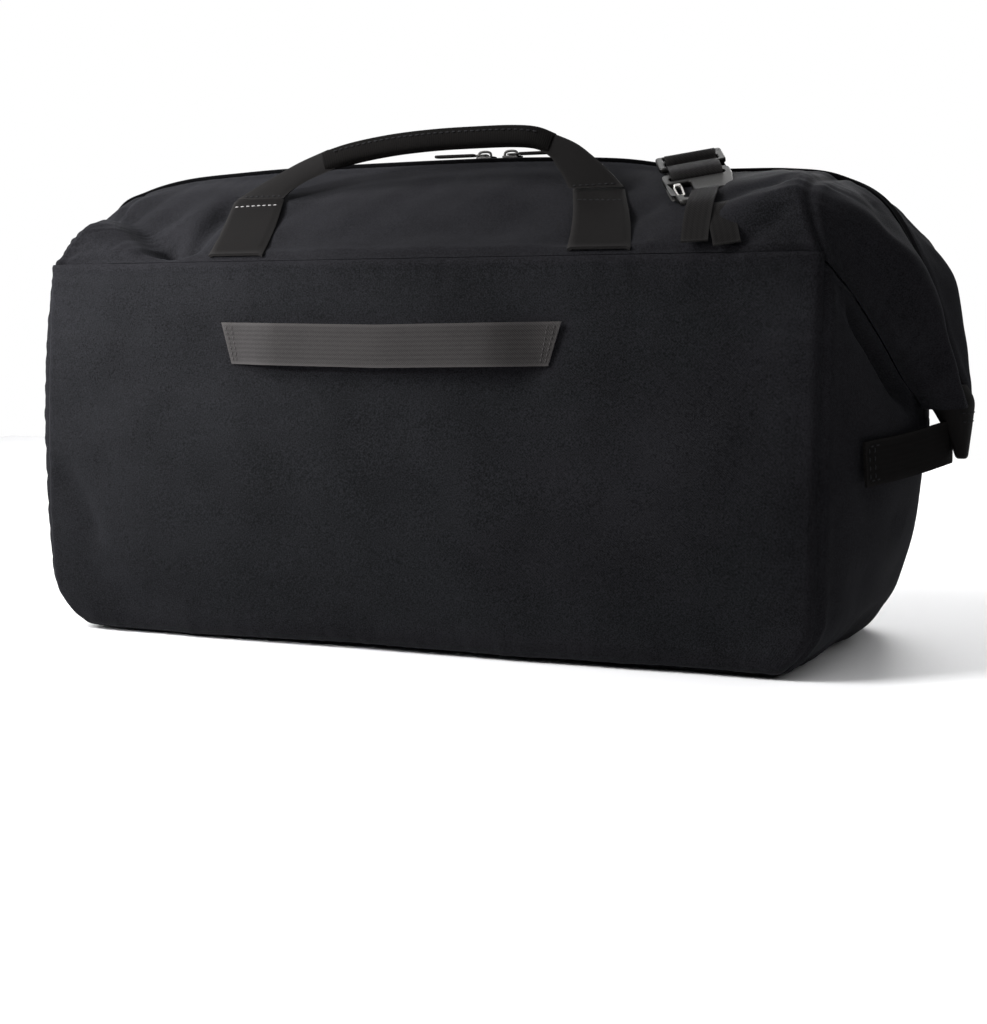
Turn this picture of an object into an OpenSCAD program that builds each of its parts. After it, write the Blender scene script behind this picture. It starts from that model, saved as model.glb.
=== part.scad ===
// Weekender bag with a zipped double-flap top, two grab handles, a trolley
// strap on its back and a detachable shoulder strap.
// +X runs along the bag, +Y from the back panel to the front panel, +Z up.
// The origin is the middle of the base, on the surface that the bag stands on.

/* [Body] */
// Length of the back panel between its corner seams
body_l = 504; // [496:2:516]
// Depth from the back panel to the front panel
body_d = 220; // [212:2:228]
// Height of the seam between a side panel and its shoulder
seam_h = 236; // [232:1:240]
// Height of the zip line above the base
ridge_h = 296; // [293:1:299]
// Thickness of the lined fabric walls
wall = 3; // [2.5:0.25:3.5]

/* [Ends] */
// How far an end panel bulges past its corner seams
end_bulge = 38; // [34:1:42]
// How far the tip of a wing stands from the middle of the bag
wing_tip_x = 303; // [300:1:306]
// Height of the lower edge of a wing at its tip
wing_tip_h = 150; // [146:1:154]

/* [Mouth] */
// Where the opening flaps end at the left
flap_left = 215; // [213:1:217]
// Where the opening flaps end at the right, beside the shoulder strap
flap_right = 127; // [126:1:128]
// Width of one zip tape beside the row of teeth
tape_w = 7; // [6:0.5:8]
// Gap between parts that move past each other
gap = 0.6; // [0.5:0.1:0.8]

/* [Handles] */
// Width of a handle's sewn-on anchor patch at the seam
anchor_w = 38; // [34:1:40]
// Height of the folded grip
grip_h = 13; // [11:0.5:14]
// Thickness of the folded grip
grip_t = 11; // [9:0.5:12]

/* [Trolley strap] */
// Width of the trolley strap's webbing
trolley_w = 25; // [22:1:28]
// Height of the middle of the trolley strap
trolley_z = 184; // [180:1:188]
// How far the trolley strap stands off the back panel
trolley_off = 19; // [15:1:21]

/* [Shoulder strap] */
// Width of the shoulder strap's webbing
strap_w = 30; // [28:1:30]
// Thickness of the shoulder strap's webbing
strap_t = 1.8; // [1.5:0.1:2]

/* [Hidden] */

FABRIC = "#34363f";
WEBBING = "#4a4643";
COATED = "#55514e";
LINING = "#77797f";
METAL = "#5b5a58";
NICKEL = "#c9c7c2";
ZIP = "#1f1f22";

half_l = body_l / 2;
half_d = body_d / 2;
ridge_dip = 9;            // the zip line sits lower towards the right end
crown = 5;                // the shoulders bulge between seam and zip
fall_right = 205;         // where the zip line starts to fall over each wing
fall_left = 225;
round_n = 2.2;            // superellipse power of the wings
steps = 8;

// ---------- surfaces ----------

function smooth(t) = let(u = min(1, max(0, t))) u * u * (3 - 2 * u);
function fall_x(side) = side > 0 ? fall_right : fall_left;
function top_h(x) = ridge_h - ridge_dip * smooth((x - 80) / 60);
function unit(v) = v / norm(v);

// The zip line over a wing: angle 90 is level, angle 0 is the tip.
function wing_ridge(side, a) =
    let(x0 = fall_x(side), top = top_h(side * x0))
    [side * (x0 + (wing_tip_x - x0) * pow(cos(a), 2 / round_n)), 0,
     wing_tip_h + (top - wing_tip_h) * pow(sin(a), 2 / round_n)];

// The height of the zip line at any place along the flaps.
function ridge_at(x) =
    let(side = x < 0 ? -1 : 1, x0 = fall_x(side), over = (abs(x) - x0) / (wing_tip_x - x0))
    over <= 0 ? top_h(x) : wing_ridge(side, acos(pow(over, round_n / 2)))[2];

// A shoulder: v is 0 at the seam and 1 at the zip line; face is -1 at the back.
function shoulder(x, v, face) =
    [x, face * half_d * (1 - v),
     seam_h + (ridge_at(x) - seam_h) * v + crown * sin(180 * v)];

// The lower edge of a wing, from the end of the seam (t = 0) to its tip (t = 1).
corner_in = 6;
tip_half = 22;
eave_drop = 86;
function eave(side, t, face) =
    [side * (half_l - corner_in + (wing_tip_x - 16 - half_l + corner_in) * pow(t, 0.8)),
     face * (half_d - (half_d - tip_half) * t),
     seam_h - eave_drop * pow(t, 1.25)];

// A wing: s runs from the flap to the tip and v from the lower edge to the zip.
straight = 0.25;
function wing_foot(side, s, face, x0) =
    s < straight
        ? [side * (x0 + (half_l - corner_in - x0) * s / straight), face * half_d, seam_h]
        : eave(side, (s - straight) / (1 - straight), face);
function wing_start(side, x0) = acos(pow(max(0, x0 - fall_x(side)) / (wing_tip_x - fall_x(side)), round_n / 2));
function wing_top(side, s, x0) =
    x0 >= fall_x(side) ? wing_ridge(side, wing_start(side, x0) * (1 - s))
    : s < straight ? let(x = x0 + (fall_x(side) - x0) * s / straight) [side * x, 0, top_h(side * x)]
    : wing_ridge(side, 90 * (1 - (s - straight) / (1 - straight)));
function wing(side, s, v, face, x0) =
    let(foot = wing_foot(side, s, face, x0), top = wing_top(side, s, x0),
        out = unit([side * s, face * 0.5, 1 - s * 0.6]))
    foot + (top - foot) * v + out * (crown + 5 * sin(180 * s)) * sin(180 * v);

// An end panel, bulging most in its middle.
function end_rise(z) = 1 - pow(max(0, 1 - z / 150), 2.2);
function end_x(y, z) = half_l + end_bulge * (1 - pow(y / half_d, 2)) * end_rise(z);
function end_top(y) = seam_h - 4 - (seam_h - 4 - wing_tip_h + 6) * (1 - pow(y / half_d, 2));

// ---------- solids from grids ----------

// The normal of a grid of points g at row i, column j.
function grid_normal(g, i, j) =
    let(rows = len(g) - 1, cols = len(g[0]) - 1,
        along = g[min(i + 1, rows)][j] - g[max(i - 1, 0)][j],
        across = g[i][min(j + 1, cols)] - g[i][max(j - 1, 0)])
    unit(cross(along, across));

// A closed sheet of thickness t with grid g as one face and t behind its normal.
module sheet(g, t) {
    rows = len(g);
    cols = len(g[0]);
    n = rows * cols;
    function id(i, j) = i * cols + j;
    points = concat(
        [for (i = [0:rows - 1], j = [0:cols - 1]) g[i][j]],
        [for (i = [0:rows - 1], j = [0:cols - 1]) g[i][j] - t * grid_normal(g, i, j)]);
    front = [for (i = [0:rows - 2], j = [0:cols - 2], k = [0, 1])
        k == 0 ? [id(i, j), id(i, j + 1), id(i + 1, j + 1)] : [id(i, j), id(i + 1, j + 1), id(i + 1, j)]];
    back = [for (f = front) [n + f[0], n + f[2], n + f[1]]];
    rim = concat(
        [for (i = [0:rows - 2]) [id(i, 0), id(i + 1, 0)]],
        [for (j = [0:cols - 2]) [id(rows - 1, j), id(rows - 1, j + 1)]],
        [for (i = [rows - 2:-1:0]) [id(i + 1, cols - 1), id(i, cols - 1)]],
        [for (j = [cols - 2:-1:0]) [id(0, j + 1), id(0, j)]]);
    sides = [for (e = rim, k = [0, 1])
        k == 0 ? [e[0], e[1], n + e[1]] : [e[0], n + e[1], n + e[0]]];
    polyhedron(points = points, faces = concat(front, back, sides));
}

// A flat ribbon along a path, with one across vector for each point.
module ribbon(path, across, t) {
    sheet([for (i = [0:len(path) - 1]) [path[i] - across[i] / 2, path[i] + across[i] / 2]], t);
}

// ---------- walls ----------

panel_round = 26;

module side_panel(face) {
    color(FABRIC)
        translate([0, face > 0 ? half_d : wall - half_d, 0])
            rotate([90, 0, 0])
                linear_extrude(wall)
                    intersection() {
                        translate([-half_l, 0]) square([body_l, seam_h - 3.5]);
                        offset(panel_round, $fn = 32)
                            translate([-half_l + panel_round, panel_round])
                                square([body_l - 2 * panel_round, seam_h]);
                    }
}
module back_panel() { side_panel(-1); }
module front_panel() { side_panel(1); }

module base_panel() {
    inset = panel_round + 2.5;
    color(FABRIC)
        translate([inset - half_l, wall - half_d + 0.1, 0])
            cube([body_l - 2 * inset, body_d - 2 * wall - 0.2, wall]);
}

// The panel's foot tucks in under the bulge like a rounded edge.
module end_panel(side) {
    edge = half_d - wall - 0.1;
    rows = [for (j = [0:steps]) edge * (side > 0 ? -1 + 2 * j / steps : 1 - 2 * j / steps)];
    function foot_in(z) = 24 * pow(max(0, 1 - z / 40), 2);
    color(FABRIC)
        sheet([for (y = rows) [for (i = [0:10])
            let(z = 0.2 + (end_top(y) - 0.2) * i / 10)
            [side * (end_x(y, z) - foot_in(z)), y, z]]], wall);
}
module left_end_panel() { end_panel(-1); }
module right_end_panel() { end_panel(1); }

// The underside of a wing, from the top of the end panel out to the wing's edge.
module wing_gusset(side) {
    ys = [for (j = [0:steps]) (side > 0 ? 1 : -1) * 0.94 * (-1 + 2 * j / steps)];
    color(FABRIC)
        sheet([for (a = ys)
            let(y = a * half_d, z = end_top(y) + 3.4, low = eave(side, 1 - abs(a), 1),
                from = [side * (end_x(y, z) - 1), y, z],
                to = [low[0] - side * 9, a * half_d * 0.82, low[2] - 4.5])
            [from, (from + to) / 2 + [-side * 2, 0, 3], to]], wall - 1);
}
module left_wing_gusset() { wing_gusset(-1); }
module right_wing_gusset() { wing_gusset(1); }

zip_edge = 0.93;          // v at which the fabric stops beside the zip tape

module wing_half(side, face, x0) {
    flip = side * face < 0;
    color(FABRIC)
        sheet([for (i = [0:12]) let(s = flip ? i / 12 : 1 - i / 12)
            [for (j = [0:6]) wing(side, s, zip_edge * j / 6, face, x0)]], wall);
}
module left_wing_back() { wing_half(-1, -1, flap_left + gap); }
module left_wing_front() { wing_half(-1, 1, flap_left + gap); }
module right_wing_back() { wing_half(1, -1, flap_right + gap); }
module right_wing_front() { wing_half(1, 1, flap_right + gap); }

// The stiff tab that closes the end of a wing and is sewn to the end strap.
module wing_tab(side) {
    top = [[wing_tip_x - 11, tip_half - 5], [wing_tip_x, 5], [wing_tip_x, -5], [wing_tip_x - 11, 5 - tip_half]];
    low = [[wing_tip_x + 2, 8], [wing_tip_x + 5, 5], [wing_tip_x + 5, -5], [wing_tip_x + 2, -8]];
    color(COATED)
        scale([side, 1, 1]) hull() {
            translate([0, 0, wing_tip_h - 2.5]) linear_extrude(1.2) polygon(top);
            translate([0, 0, wing_tip_h - 30]) linear_extrude(1) polygon(low);
        }
}
module left_wing_tab() { mirror([1, 0, 0]) wing_tab(1); }
module right_wing_tab() { wing_tab(1); }

// A webbing strap sewn across an end panel and standing off its middle.
end_strap_z = 120;
end_strap_y = 80;
module end_strap(side) {
    ys = [for (j = [-6:6]) side * j / 6 * end_strap_y];
    path = [for (y = ys)
        [side * (end_x(y, end_strap_z) + 2.8 + 6 * smooth(1.3 - abs(y) / 36)), y,
         end_strap_z + 3 * smooth(1 - abs(y) / 50)]];
    color(WEBBING) ribbon(path, [for (p = path) [0, 0, trolley_w]], 2);
}
module left_end_strap() { end_strap(-1); }
module right_end_strap() { end_strap(1); }

// The zip where it stays shut: over the left wing, and from the shoulder strap
// over the right one.
closed_w = tape_w - 2.5;   // half of the width that shows between the fabric edges
module closed_zip(side, x0) {
    color(ZIP)
        sheet([for (i = [0:16])
            let(s = (side > 0 ? i : 16 - i) / 16, p = wing_top(side, s, x0),
                edge = wing(side, s, zip_edge, 1, x0)[1] - gap, half_w = min(closed_w, edge))
            [[p[0], -half_w, p[2]], [p[0], half_w, p[2]]]], 2.4);
}
module left_closed_zip() { closed_zip(-1, flap_left + gap); }
module right_closed_zip() { closed_zip(1, flap_right + gap); }

// ---------- inside ----------

lining_in = 29;           // from a corner seam in to the end of the lining
module lining() {
    color(LINING)
        difference() {
            translate([lining_in - half_l, 4.2 - half_d, 6])
                cube([body_l - 2 * lining_in, body_d - 8.4, seam_h - 12]);
            translate([lining_in + 1 - half_l, 5.2 - half_d, 7])
                cube([body_l - 2 * lining_in - 2, body_d - 10.4, seam_h]);
        }
}
module base_board() {
    color("#2c2c2e")
        translate([0, 0, wall + 0.2])
            linear_extrude(2.5)
                offset(12, $fn = 32) square([body_l - 100, body_d - 44], center = true);
}
module inner_pocket() {
    pocket_w = 260;
    pocket_h = 130;
    front = half_d - 5.4;
    color(LINING)
        difference() {
            translate([-pocket_w / 2, front - 3, 60]) cube([pocket_w, 2.9, pocket_h]);
            translate([3 - pocket_w / 2, front - 2, 63]) cube([pocket_w - 6, 3, pocket_h]);
        }
}

// ---------- trolley strap ----------

trolley_left = -114;
trolley_right = 100;
module trolley_strap() {
    mid = (trolley_left + trolley_right) / 2;
    half = (trolley_right - trolley_left) / 2;
    path = [for (i = [0:20])
        let(u = -1 + i / 10, off = smooth((1 - abs(u)) / 0.34) * trolley_off)
        [mid + half * u, -half_d - 2.1 - off, trolley_z]];
    color(WEBBING) ribbon(path, [for (p = path) [0, 0, trolley_w]], 1.8);
}

// ---------- flaps ----------

seam_v = 0.02;            // the flaps start just above the hinge line

module flap(face, low_x, high_x) {
    xs = [for (i = [0:16]) let(k = face < 0 ? 16 - i : i) high_x + (low_x - high_x) * k / 16];
    color(FABRIC)
        sheet([for (x = xs) [for (j = [0:6])
            shoulder(x, seam_v + (zip_edge - seam_v) * j / 6, face)]], wall);
}
module back_shoulder() { flap(-1, -flap_left, flap_right); }
module front_shoulder() { flap(1, -flap_left, flap_right); }

teeth_w = 2.6;
module zip_row(face, low_x, high_x, from_y, to_y, lift, t) {
    xs = [for (i = [0:16]) let(k = face < 0 ? 16 - i : i) high_x + (low_x - high_x) * k / 16];
    sheet([for (x = xs) [[x, face * from_y, ridge_at(x) + lift], [x, face * to_y, ridge_at(x) + lift]]], t);
}
module back_zip_tape() { color(ZIP) zip_row(-1, -flap_left, flap_right, tape_w, teeth_w + gap / 2, 0, 1); }
module front_zip_tape() { color(ZIP) zip_row(1, -flap_left, flap_right, tape_w, teeth_w + gap / 2, 0, 1); }
module back_zip_teeth() { color(ZIP) zip_row(-1, -flap_left, flap_right, teeth_w + gap / 2, gap / 2, 0.5, 2.4); }
module front_zip_teeth() { color(ZIP) zip_row(1, -flap_left, flap_right, teeth_w + gap / 2, gap / 2, 0.5, 2.4); }

// ---------- handles ----------

hinge_v = 0.53;           // where a handle is stitched to its flap
hinge_y = half_d * (1 - hinge_v);
hinge_z = seam_h + (ridge_h - seam_h) * hinge_v + crown + 3;

// An anchor patch from the seam up to the stitch line, lying on the shoulder.
module anchor(face, seam_x, stitch_x) {
    cols = 6;
    color(COATED)
        sheet([for (i = [0:4]) let(u = (face < 0 ? -1 : 1) * (1 - i / 2))
            [for (j = [0:cols])
                let(k = j / cols, v = 0.03 + (hinge_v - 0.05) * k,
                    half_w = (anchor_w - 4 * k) / 2,
                    x = seam_x + (stitch_x - seam_x) * k + u * half_w)
                shoulder(x, v, face) + [0, face, 2] * 1.1]], 1.8);
}
back_mid = -13;
front_mid = -12;
reach = 114;              // from the middle of a handle to its stitches
module back_left_anchor() { anchor(-1, -112, back_mid - reach); }
module back_right_anchor() { anchor(-1, 123, back_mid + reach); }
module front_left_anchor() { anchor(1, -128, front_mid - reach); }
module front_right_anchor() { anchor(1, 104, front_mid + reach); }

// The middle line of a handle that stands up, from its left to its right stitches.
handle_line = [[-reach, 0], [-100, 8], [-84, 16], [-67, 22.5], [-44, 27.5], [-18, 31], [10, 32.8],
               [36, 33.2], [60, 33], [75, 31.5], [86, 27.5], [96, 20], [106, 10], [reach, 0]];
grip_first = 3;
grip_last = 10;
function line_at(i) = [handle_line[i][0], 0, handle_line[i][1]];
function line_dir(i) =
    unit(line_at(min(i + 1, len(handle_line) - 1)) - line_at(max(i - 1, 0)));
function line_up(i) = cross(line_dir(i), [0, 1, 0]) * -1;

// A leg is as wide as its anchor at the stitches and gathers into the grip.
// Its edges run from the stitches up to the ends of the grip.
foot_w = 34;
function grip_end(i, along, up) =
    let(p = line_at(i) + line_dir(i) * along + line_up(i) * up) [p[0], p[2]];
left_outer = [[-reach - foot_w / 2, 0.4], [-116, 8], [-100, 15.5], [-84, 22.5], grip_end(grip_first, -0.3, 6)];
left_inner = [[-reach + foot_w / 2, 0.4], [-91, 5], [-82, 9.5], [-73, 13], grip_end(grip_first, -0.3, -6)];
right_outer = [[reach + foot_w / 2, 0.4], [122, 10], [112, 19], [101, 27], grip_end(grip_last, 0.3, 6)];
right_inner = [[reach - foot_w / 2, 0.4], [93, 8], [89, 14], [85.5, 19], grip_end(grip_last, 0.3, -6)];
module handle_leg(outer, inner, t) {
    sheet([for (i = [0:len(outer) - 1])
        [[outer[i][0], -t / 2, outer[i][1]], [inner[i][0], -t / 2, inner[i][1]]]], t);
}
module handle_legs() {
    leg_t = 3.2;
    color(WEBBING) {
        handle_leg(left_inner, left_outer, leg_t);
        handle_leg(right_outer, right_inner, leg_t);
    }
}

// A folded and padded grip, swept along the arch with a rounded section.
module handle_grip() {
    sides = 12;
    ring = [for (i = [grip_first:grip_last]) [for (k = [0:sides - 1])
        let(a = 360 * k / sides)
        line_at(i) + line_up(i) * grip_h / 2 * cos(a) + [0, grip_t / 2 * sin(a), 0]]];
    n = len(ring);
    points = [for (r = ring, p = r) p];
    skin = [for (i = [0:n - 2], k = [0:sides - 1], h = [0, 1])
        let(a = i * sides + k, b = i * sides + (k + 1) % sides)
        h == 0 ? [a, b + sides, b] : [a, a + sides, b + sides]];
    ends = [[for (k = [0:sides - 1]) k], [for (k = [sides - 1:-1:0]) (n - 1) * sides + k]];
    color(WEBBING) polyhedron(points = points, faces = concat(skin, ends));
}

module place_back_handle() { translate([back_mid, -hinge_y, hinge_z]) children(); }
lie_down = 96;            // the front handle lies on its shoulder
module place_front_handle() { translate([front_mid, hinge_y, hinge_z]) rotate([-lie_down, 0, 0]) children(); }
module back_handle_legs() { place_back_handle() handle_legs(); }
module back_handle_grip() { place_back_handle() handle_grip(); }
module front_handle_legs() { place_front_handle() handle_legs(); }
module front_handle_grip() { place_front_handle() handle_grip(); }

// ---------- zip sliders ----------

slider_z = ridge_h + 1;
slider_l = 13;
slider_left = 8;
slider_right = 26;
slider_w = 4.4;
plate_t = 1.4;
pin_z = 3.6;
pin_r = 0.75;
// A slider on the back row of teeth, with the pin that its pull swings on.
module slider(x) {
    color(METAL)
        translate([x, -gap / 2, slider_z]) {
            translate([-slider_l / 2, -slider_w, 0]) cube([slider_l, slider_w, plate_t]);
            for (y = [-slider_w, -1.2])
                translate([-1.8, y, 0]) cube([3.6, 1.2, pin_z + 1.4]);
            translate([0, 0, pin_z]) rotate([90, 0, 0]) cylinder(r = pin_r, h = slider_w, $fn = 32);
        }
}
pull_l = 34;
module pull(x, dir) {
    clear = 0.06;
    color(COATED)
        translate([x, -gap / 2, slider_z + pin_z])
            difference() {
                union() {
                    translate([0, -1.4, 0]) rotate([90, 0, 0]) cylinder(r = 1.6, h = 1.6, $fn = 32);
                    translate([dir > 0 ? 0 : -6, -3, -0.8]) cube([6, 1.6, 1.6]);
                    translate([dir > 0 ? 5 : -pull_l, -7.4, -0.8]) cube([pull_l - 5, 7, 1.6]);
                }
                translate([0, 1, 0]) rotate([90, 0, 0]) cylinder(r = pin_r + clear, h = 9, $fn = 32);
            }
}
module left_zip_slider() { slider(slider_left); }
module right_zip_slider() { slider(slider_right); }
module left_zip_pull() { pull(slider_left, -1); }
module right_zip_pull() { pull(slider_right, 1); }

// ---------- hooks of the shoulder strap ----------

hook_t = 3;
hook_top = 40;            // from the loop's bar to the top edge of the hook
bar_y = -5.5;             // the middle of the bar that the strap loop goes round
gate_x = -13;
gate_y = 21;
// A flat G-shaped plate: the loop enters past the gate at its left side.
module hook_plate() {
    color(METAL)
        translate([0, 0, -hook_t / 2])
            linear_extrude(hook_t)
                difference() {
                    offset(4, $fn = 32) offset(-4)
                        polygon([[-20, hook_top], [20, hook_top], [20, 26], [15, -8], [-16, -8], [-17, 10], [-20, 26]]);
                    translate([-12, -3]) square([24, 8]);
                    translate([-18, 3]) square([13, 20.5]);
                    translate([-16, 28]) square([32, 5]);
                }
}
// A bent wire that closes the throat and springs back after it is pushed in.
module hook_gate() {
    wire_r = 0.8;
    color(NICKEL) {
        for (x = [-1.2, 1.2])
            translate([gate_x + x, 4.2, 0]) rotate([-90, 0, 0]) cylinder(r = wire_r, h = gate_y - 3, $fn = 24);
        translate([gate_x - 2, 4.2, 0]) rotate([0, 90, 0]) cylinder(r = wire_r, h = 4, $fn = 24);
        translate([gate_x, gate_y, -1.4]) cylinder(r = 1.6, h = 2.8, $fn = 24);
    }
}

back_slope = atan2(ridge_h - ridge_dip - seam_h, half_d);
hook_x = 173;
hook_d = 50;              // up the shoulder from the seam
hook_lift = 13;
strap_turn = 24;          // the strap leans to the left on its way up
module on_back(x, d, lift) {
    translate([0, -half_d, seam_h])
        rotate([back_slope, 0, 0])
            translate([x, d, lift])
                rotate([0, 0, strap_turn])
                    children();
}
function back_point(x, d, lift) =
    [x, d * cos(back_slope) - lift * sin(back_slope) - half_d,
     d * sin(back_slope) + lift * cos(back_slope) + seam_h];
module back_hook() { on_back(hook_x, hook_d, hook_lift) hook_plate(); }
module back_hook_gate() { on_back(hook_x, hook_d, hook_lift) hook_gate(); }

// The loop of webbing runs up from the seam, round the hook's bar and back down.
loop_w = 15;
bend_r = 4;
function hook_frame(y, z, along) =
    let(c = cos(strap_turn * along), s = sin(strap_turn * along))
    back_point(hook_x - y * s, hook_d + y * c, hook_lift + z);
module back_strap_loop() {
    turn = [for (a = [0:30:180]) hook_frame(bar_y + 0.9 + bend_r * sin(a), bend_r * cos(a), 1)];
    path = concat([back_point(181, 1, 6.5), back_point(178, 24, 14)], turn,
                  [back_point(190, 24, 9.5), back_point(199, 1, 5)]);
    function dir(k) = [cos(k), sin(k) * cos(back_slope), sin(k) * sin(back_slope)];
    leans = concat([6, 15], [for (a = [0:30:180]) strap_turn], [12, 8]);
    color(WEBBING) ribbon([for (i = [len(path) - 1:-1:0]) path[i]],
        [for (i = [len(path) - 1:-1:0]) -loop_w * dir(leans[i])], 1.3);
}

// The strap's end, folded round the slot of the hook and sewn to itself.
module back_hook_webbing() {
    color(WEBBING)
        on_back(hook_x, hook_d, hook_lift)
            translate([-strap_w / 2, hook_top + 0.6, -1.5]) cube([strap_w, 10, 3.4]);
}

adjuster_x = 147;
adjuster_d = 111;
adjuster_lift = 12;
module strap_adjuster() {
    color(METAL)
        on_back(adjuster_x, adjuster_d, adjuster_lift)
            translate([0, 0, -1.5])
                difference() {
                    linear_extrude(3)
                        offset(2, $fn = 24) square([36, 18], center = true);
                    for (y = [-8, 2.2])
                        translate([-15.6, y, -1]) cube([31.2, 5.8, 5]);
                }
}

// ---------- the front end of the strap ----------

front_hook_x = -190;
front_hook_z = 203;
front_hook_off = 5.4;
module on_front() {
    translate([front_hook_x, half_d + front_hook_off, front_hook_z]) rotate([-90, 0, 0]) children();
}
module front_hook() { on_front() hook_plate(); }
module front_hook_gate() { on_front() hook_gate(); }
module front_strap_loop() {
    function at(y, z) = [front_hook_x, half_d + front_hook_off + z, front_hook_z - y];
    turn = [for (a = [0:30:180]) at(bar_y + 0.9 + bend_r * sin(a), bend_r * cos(a))];
    path = concat([at(-29, -3), at(-20, 3)], turn, [at(-20, -3.6), at(-28, -3.8)]);
    color(WEBBING) ribbon([for (i = [len(path) - 1:-1:0]) path[i]], [for (p = path) [-loop_w, 0, 0]], 1.3);
}

// The shoulder strap crosses the ridge, comes down the front shoulder and hangs
// in a slack curve before the front panel, up to the front hook. Each point has
// its place and the turn of the webbing's width from lying along the bag to
// standing across it.
strap_x = 147;
function on_shoulder(y) = shoulder(strap_x, 1 - y / half_d, 1) + [0, 1.5, 6];
strap_route = [
    [on_shoulder(4), 0], [on_shoulder(22), 0], [on_shoulder(44), 0],
    [on_shoulder(66), 0], [on_shoulder(88), 0], [on_shoulder(104), 0],
    [[147, 115, 232], 0], [[147, 118, 218], 6], [[146, 122, 196], 22], [[141, 127, 170], 45],
    [[130, 130, 140], 68], [[108, 131, 108], 84], [[76, 131, 82], 90], [[36, 131, 66], 90],
    [[-8, 131, 60], 90], [[-52, 131, 62], 90], [[-96, 131, 72], 90], [[-134, 130, 91], 96],
    [[-160, 128, 112], 112], [[-178, 124, 130], 142], [[-188, 120, 144], 166], [[-190, 117, 152], 178],
    [[-190, 115.4, 160.5], 180]];
function strap_dir(i) =
    unit(strap_route[min(i + 1, len(strap_route) - 1)][0] - strap_route[max(i - 1, 0)][0]);
function strap_across(i) =
    let(dir = strap_dir(i), flat = unit(cross(cross(dir, [0, 1, 0.001]), dir)),
        side = unit(cross(flat, dir)), a = strap_route[i][1])
    side * cos(a) + flat * sin(a);
module shoulder_strap() {
    color(WEBBING)
        ribbon([for (r = strap_route) r[0]],
            [for (i = [0:len(strap_route) - 1]) strap_w * strap_across(i)], strap_t);
}

back_panel();
front_panel();
base_panel();
left_end_panel();
right_end_panel();
left_wing_back();
left_wing_front();
right_wing_back();
right_wing_front();
left_wing_gusset();
right_wing_gusset();
left_wing_tab();
right_wing_tab();
left_end_strap();
right_end_strap();
left_closed_zip();
right_closed_zip();
lining();
base_board();
inner_pocket();
trolley_strap();
back_shoulder();
back_zip_tape();
back_zip_teeth();
back_left_anchor();
back_right_anchor();
back_handle_legs();
back_handle_grip();
front_shoulder();
front_zip_tape();
front_zip_teeth();
front_left_anchor();
front_right_anchor();
front_handle_legs();
front_handle_grip();
left_zip_slider();
left_zip_pull();
right_zip_slider();
right_zip_pull();
back_strap_loop();
back_hook();
back_hook_gate();
back_hook_webbing();
strap_adjuster();
shoulder_strap();
front_strap_loop();
front_hook();
front_hook_gate();
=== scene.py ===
"""The looks of the weekender bag, in metres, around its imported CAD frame."""

import math

import bmesh
import bpy
import numpy as np
from mathutils import Matrix, Vector


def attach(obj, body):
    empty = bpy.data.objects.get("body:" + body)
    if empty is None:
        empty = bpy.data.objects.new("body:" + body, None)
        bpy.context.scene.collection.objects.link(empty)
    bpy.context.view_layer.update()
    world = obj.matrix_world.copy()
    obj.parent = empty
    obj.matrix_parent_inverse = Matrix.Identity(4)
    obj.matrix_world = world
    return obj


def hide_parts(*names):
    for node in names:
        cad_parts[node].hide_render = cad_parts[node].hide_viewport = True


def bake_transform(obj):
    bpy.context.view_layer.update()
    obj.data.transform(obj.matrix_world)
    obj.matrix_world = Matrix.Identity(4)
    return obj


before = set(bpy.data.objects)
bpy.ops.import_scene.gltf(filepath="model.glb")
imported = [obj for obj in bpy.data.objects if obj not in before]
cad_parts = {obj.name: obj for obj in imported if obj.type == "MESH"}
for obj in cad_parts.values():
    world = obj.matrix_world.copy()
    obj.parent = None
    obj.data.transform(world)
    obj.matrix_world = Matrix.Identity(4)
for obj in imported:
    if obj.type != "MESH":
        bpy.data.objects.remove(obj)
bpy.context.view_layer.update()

MM = 0.001
SHELL = "shell"


# ---------- camera, lights and floor ----------

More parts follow.
